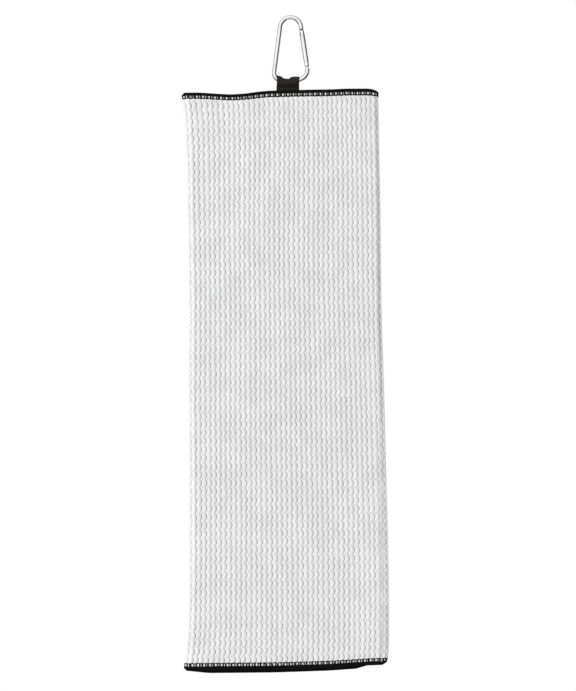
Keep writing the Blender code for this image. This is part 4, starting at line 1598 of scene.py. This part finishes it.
@dataclass
class Ribbon:
    """The black ribbon: one strip round the carabiner's bar, with both ends sewn behind the towel's hem."""

    finishes: Finishes
    carabiner: Carabiner
    thickness: float = 0.00062
    crown_width: float = 0.0176
    crown_side: float = -0.0019
    shoulders: tuple[float, float] = (-0.0449, -0.0455)
    dip: tuple[float, float, float] = (-0.0034, 0.0039, 0.0027)
    foot_width: float = 0.0181
    foot_side: float = -0.00215
    half_depth: float = 0.0031
    leg_y: float = 0.00034
    neck: float = -0.0545
    foot: float = -0.0718
    space: float = 0.0006
    rib: float = 0.00124
    neck_bodies: tuple[float, float] = (-0.0542, -0.0564)
    stitch_radius: float = 0.000175
    stitch_height: float = 0.0007
    stitch_turns: int = 8
    stitch_sides: int = 8

    def crown(self, places: np.ndarray) -> tuple[np.ndarray, np.ndarray]:
        """Where the bar and the ribbon's crown over it lie.

        The crown clears the top of the rod, or dips between its two shoulders where that is higher.

        Args:
            places: places across the ribbon.

        Returns:
            Heights of the bar's middle and of the ribbon's middle line over it.
        """
        bar = self.carabiner.bar_line()
        low = bar[:, 1] < -self.carabiner.pivot_depth - 0.004
        order = np.argsort(bar[low][:, 0])
        middle = np.interp(places, bar[low][order, 0], bar[low][order, 1])
        offsets = np.linspace(-1.0, 1.0, 41) * self.carabiner.rod
        under = np.interp(places[:, None] + offsets, bar[low][order, 0], bar[low][order, 1])
        top = (under + np.sqrt(np.clip(self.carabiner.rod ** 2 - offsets ** 2, 0.0, None))).max(axis=1)
        side, depth, width = self.dip
        left, right = self.shoulders
        gull = left + (right - left) * smoothstep(-0.008, 0.004, places)
        gull = gull - depth * bell(places - side, width)
        return middle, np.maximum(top + self.space, gull)

    def build(self) -> bpy.types.Object:
        """Make the strip.

        Across the ribbon the crown follows the bar. Along it, each leg runs up from the foot, eases out from
        the neck to the bar's side by a cosine, and an ellipse joins the two legs over the bar. Both faces lie
        half the thickness from that line, thicker at the selvedges and on each rib.

        Returns:
            The ribbon.
        """
        share = np.linspace(-1.0, 1.0, 33)
        middle, top = self.crown(self.crown_side + self.crown_width / 2 * share)
        legs = np.linspace(0.0, 1.0, 34)
        turn = np.radians(np.linspace(-90.0, 90.0, 41))
        foot_z = np.linspace(self.foot, self.neck, 20)[None, :].repeat(len(share), axis=0)
        leg_z = self.neck + (middle[:, None] - self.neck) * legs[None, 1:]
        ease = 0.5 - 0.5 * np.cos(math.pi * np.clip(legs[1:] * 1.12, 0.0, 1.0))
        leg_y = -(self.leg_y + (self.half_depth - self.leg_y) * ease)[None, :].repeat(len(share), axis=0)
        over_z = middle[:, None] + (top - middle)[:, None] * np.cos(turn)[None, 1:-1]
        over_y = (self.half_depth * np.sin(turn))[None, 1:-1].repeat(len(share), axis=0)
        y = np.concatenate([np.full_like(foot_z, -self.leg_y), leg_y, over_y, -leg_y[:, ::-1],
                            np.full_like(foot_z, self.leg_y)], axis=1)
        z = np.concatenate([foot_z, leg_z, over_z, leg_z[:, ::-1], foot_z[:, ::-1]], axis=1)
        spread = smoothstep(self.neck - 0.001, -0.0470, z)
        half = self.foot_width / 2 + (self.crown_width - self.foot_width) / 2 * spread
        centre = self.foot_side + (self.crown_side - self.foot_side) * spread
        x = centre + half * share[:, None]
        path = np.stack([x, y, z], axis=-1)
        ahead = directions(path[..., 1:], axis=1)
        normal = np.stack([np.zeros_like(x), -ahead[..., 1], ahead[..., 0]], axis=-1)
        run = np.concatenate([np.zeros((len(share), 1)),
                              np.cumsum(np.linalg.norm(np.diff(path, axis=1), axis=-1), axis=1)], axis=1)
        out = np.abs(share)
        selvedge = 1.0 + 0.22 * smoothstep(0.90, 0.97, out) - 0.5 * smoothstep(0.97, 1.0, out)
        ribs = 1.0 + 0.05 * np.cos(FULL_TURN * run / self.rib)
        offset = self.thickness / 2 * selvedge[:, None] * ribs
        columns, rows = len(share), path.shape[1]
        behind = columns * rows
        points = np.stack([path + side * offset[..., None] * normal for side in (1.0, -1.0)])
        pattern = np.stack([np.stack([x, run, np.full_like(x, face)], axis=-1) for face in (0.01, -0.01)])
        faces = [grid_faces(columns, rows, start=start) for start in (0, behind)]
        for first, stride, count in ((0, 1, rows), ((columns - 1) * rows, 1, rows), (0, rows, columns),
                                     (rows - 1, rows, columns)):
            line = first + stride * np.arange(count)
            faces.append(np.stack([line[:-1], line[1:], line[1:] + behind, line[:-1] + behind], axis=1))
        shell = Shell()
        shell.add(points, faces, pattern)
        piece = shell.build("hanging_ribbon")
        self.finishes.ribbon.dress(piece)
        start, end = ((self.foot_side, 0.0, height) for height in self.neck_bodies)
        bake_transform(piece)
        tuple(start)
        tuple(end)
        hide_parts("hang_loop", "loop_tail")
        return piece

    def build_stitching(self) -> bpy.types.Object:
        """Make the thread that sews the ribbon's ends down: two rows of rounded zigzag, carried as a tube.

        The zigzag is arcsin(0.94 * cos), and the second row runs back across the ribbon.

        Returns:
            The thread.
        """
        low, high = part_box("loop_stitching")
        radius, turns = self.stitch_radius, self.stitch_turns
        share = np.linspace(0.0, 1.0, turns * 8 + 1)
        zigzag = 2.0 / math.pi * np.arcsin(0.94 * np.cos(math.pi * turns * share))
        x = low.x + radius + (high.x - low.x - 2 * radius) * np.concatenate([share, share[::-1]])
        inset = radius + self.stitch_height
        middle = np.repeat([high.z - inset, low.z + inset], len(share))
        z = middle + self.stitch_height * np.tile(zigzag, 2)
        path = np.stack([x, np.full_like(x, low.y + radius), z], axis=1)
        ahead = directions(path)
        across = np.stack([-ahead[:, 2], np.zeros(len(path)), ahead[:, 0]], axis=1)
        rings = tube_sections(path, across, (0.0, 1.0, 0.0), radius, self.stitch_sides)
        shell = Shell()
        shell.add(rings, tube_faces(len(path), self.stitch_sides))
        piece = shell.build("ribbon_stitching")
        self.finishes.thread.dress(piece)
        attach(piece, "towel")
        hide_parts("loop_stitching")
        return piece


# ---------------------------------------------------------------- the studio

@dataclass
class Studio:
    """A pale floor, soft lights, a white surround and the camera straight in front."""

    view_width: float = 0.4562
    view_x: float = -0.0020
    view_z: float = -0.2582
    distance: float = 6.0
    sensor: float = 0.036
    floor_z: float = -1.20
    floor_half: float = 0.60
    light_side: tuple[float, float, float] = (-0.42, -0.66, 0.62)

    def camera(self) -> None:
        """Place the camera level with the towel's middle, with a long lens."""
        data = bpy.data.cameras.new("camera")
        data.sensor_fit = "HORIZONTAL"
        data.sensor_width = self.sensor * 1000
        data.lens = data.sensor_width * self.distance / self.view_width
        data.clip_end = 40.0
        holder = bpy.data.objects.new("camera", data)
        holder.location = (self.view_x, -self.distance, self.view_z)
        holder.rotation_euler = (math.pi / 2, 0.0, 0.0)
        bpy.context.scene.collection.objects.link(holder)
        bpy.context.scene.camera = holder

    def soft_light(self, name: str, place: tuple[float, float, float], size: float, power: float) -> None:
        """Place a square area light that faces the towel's middle.

        Args:
            name: the light's name.
            place: where it stands.
            size: length of its side.
            power: its power in watts.
        """
        data = bpy.data.lights.new(name, "AREA")
        data.shape = "SQUARE"
        data.size = size
        data.energy = power
        holder = bpy.data.objects.new(name, data)
        holder.location = place
        holder.visible_glossy = False
        aim = np.array([0.0, 0.0, self.view_z]) - np.array(place)
        holder.rotation_euler = (math.atan2(math.hypot(aim[0], aim[1]), -aim[2]), 0.0,
                                 math.atan2(aim[1], aim[0]) - math.pi / 2)
        bpy.context.scene.collection.objects.link(holder)

    def surround(self) -> None:
        """White where it is seen, dimmer where it lights the cloth, and a tent of light in the metal."""
        world = bpy.data.worlds.new("surround")
        bpy.context.scene.world = world
        world.use_nodes = True
        nodes = Nodes(world.node_tree)
        world.node_tree.nodes.clear()
        seen = nodes.add("ShaderNodeBackground", {"Color": (1, 1, 1, 1), "Strength": 1.0})
        way = nodes.add("ShaderNodeTexCoord").outputs["Generated"]
        facing = nodes.dot(way, self.light_side)
        path = nodes.add("ShaderNodeLightPath")
        behind = nodes.add("ShaderNodeSeparateXYZ", {0: way}).outputs[1]
        on_cloth = nodes.ramp(facing, -0.55, 0.75, 0.20, 0.66)
        tent = nodes.times(nodes.ramp(facing, 0.08, 0.50, 0.0, 0.96),
                           nodes.ramp(behind, -0.15, 0.20, 1.0, 0.55))
        tent = nodes.math("ADD", tent, nodes.ramp(behind, 0.78, 0.97, 0.0, 0.5))
        on_metal = nodes.math("ADD", nodes.ramp(facing, -0.95, -0.35, 0.0, 0.13), tent)
        glossy = nodes.times(path.outputs["Is Glossy Ray"], nodes.math("SUBTRACT", on_metal, on_cloth))
        lit = nodes.add("ShaderNodeBackground", {"Color": (1, 1, 1, 1),
                                                 "Strength": nodes.math("ADD", on_cloth, glossy)})
        both = nodes.add("ShaderNodeMixShader", {0: path.outputs["Is Camera Ray"], 1: lit.outputs[0],
                                                 2: seen.outputs[0]})
        nodes.add("ShaderNodeOutputWorld", {"Surface": both.outputs[0]})

    def floor(self) -> None:
        """Make the floor, a flat square of 8 by 8 faces below the towel."""
        side = np.linspace(-self.floor_half, self.floor_half, 9)
        x, y = np.meshgrid(side, side)
        shell = Shell()
        shell.add(np.stack([x, y, np.full_like(x, self.floor_z)], axis=-1), [grid_faces(9, 9)])
        slab = shell.build("floor")
        PaleFloor().dress(slab)
        slab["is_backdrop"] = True

    def build(self) -> None:
        """Set up the whole studio."""
        self.camera()
        bpy.context.scene.view_settings.view_transform = "Standard"
        self.soft_light("key_light", (-2.6, -1.40, 0.75), 0.9, 68.0)
        self.soft_light("fill_light", (2.4, -2.1, 0.3), 1.6, 34.0)
        self.soft_light("back_light", (0.7, 2.4, 0.6), 2.0, 46.0)
        self.surround()
        self.floor()


def write_sizes() -> None:
    """Gather the frame's box and the finished model's box as plain lists, which are not kept."""
    boxes = {name: [list(map(float, corner)) for corner in box]
             for name, box in (("cad", CAD_BOX), ("visual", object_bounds()))}


def main() -> None:
    """Build every sub-assembly in order."""
    logging.basicConfig(level=logging.INFO, format="%(message)s", force=True)
    Studio().build()
    finishes = Finishes.make()
    Towel(finishes).build()
    carabiner = Carabiner(finishes)
    carabiner.build()
    ribbon = Ribbon(finishes, carabiner)
    ribbon.build()
    ribbon.build_stitching()
    write_sizes()


if __name__ == "__main__":
    main()
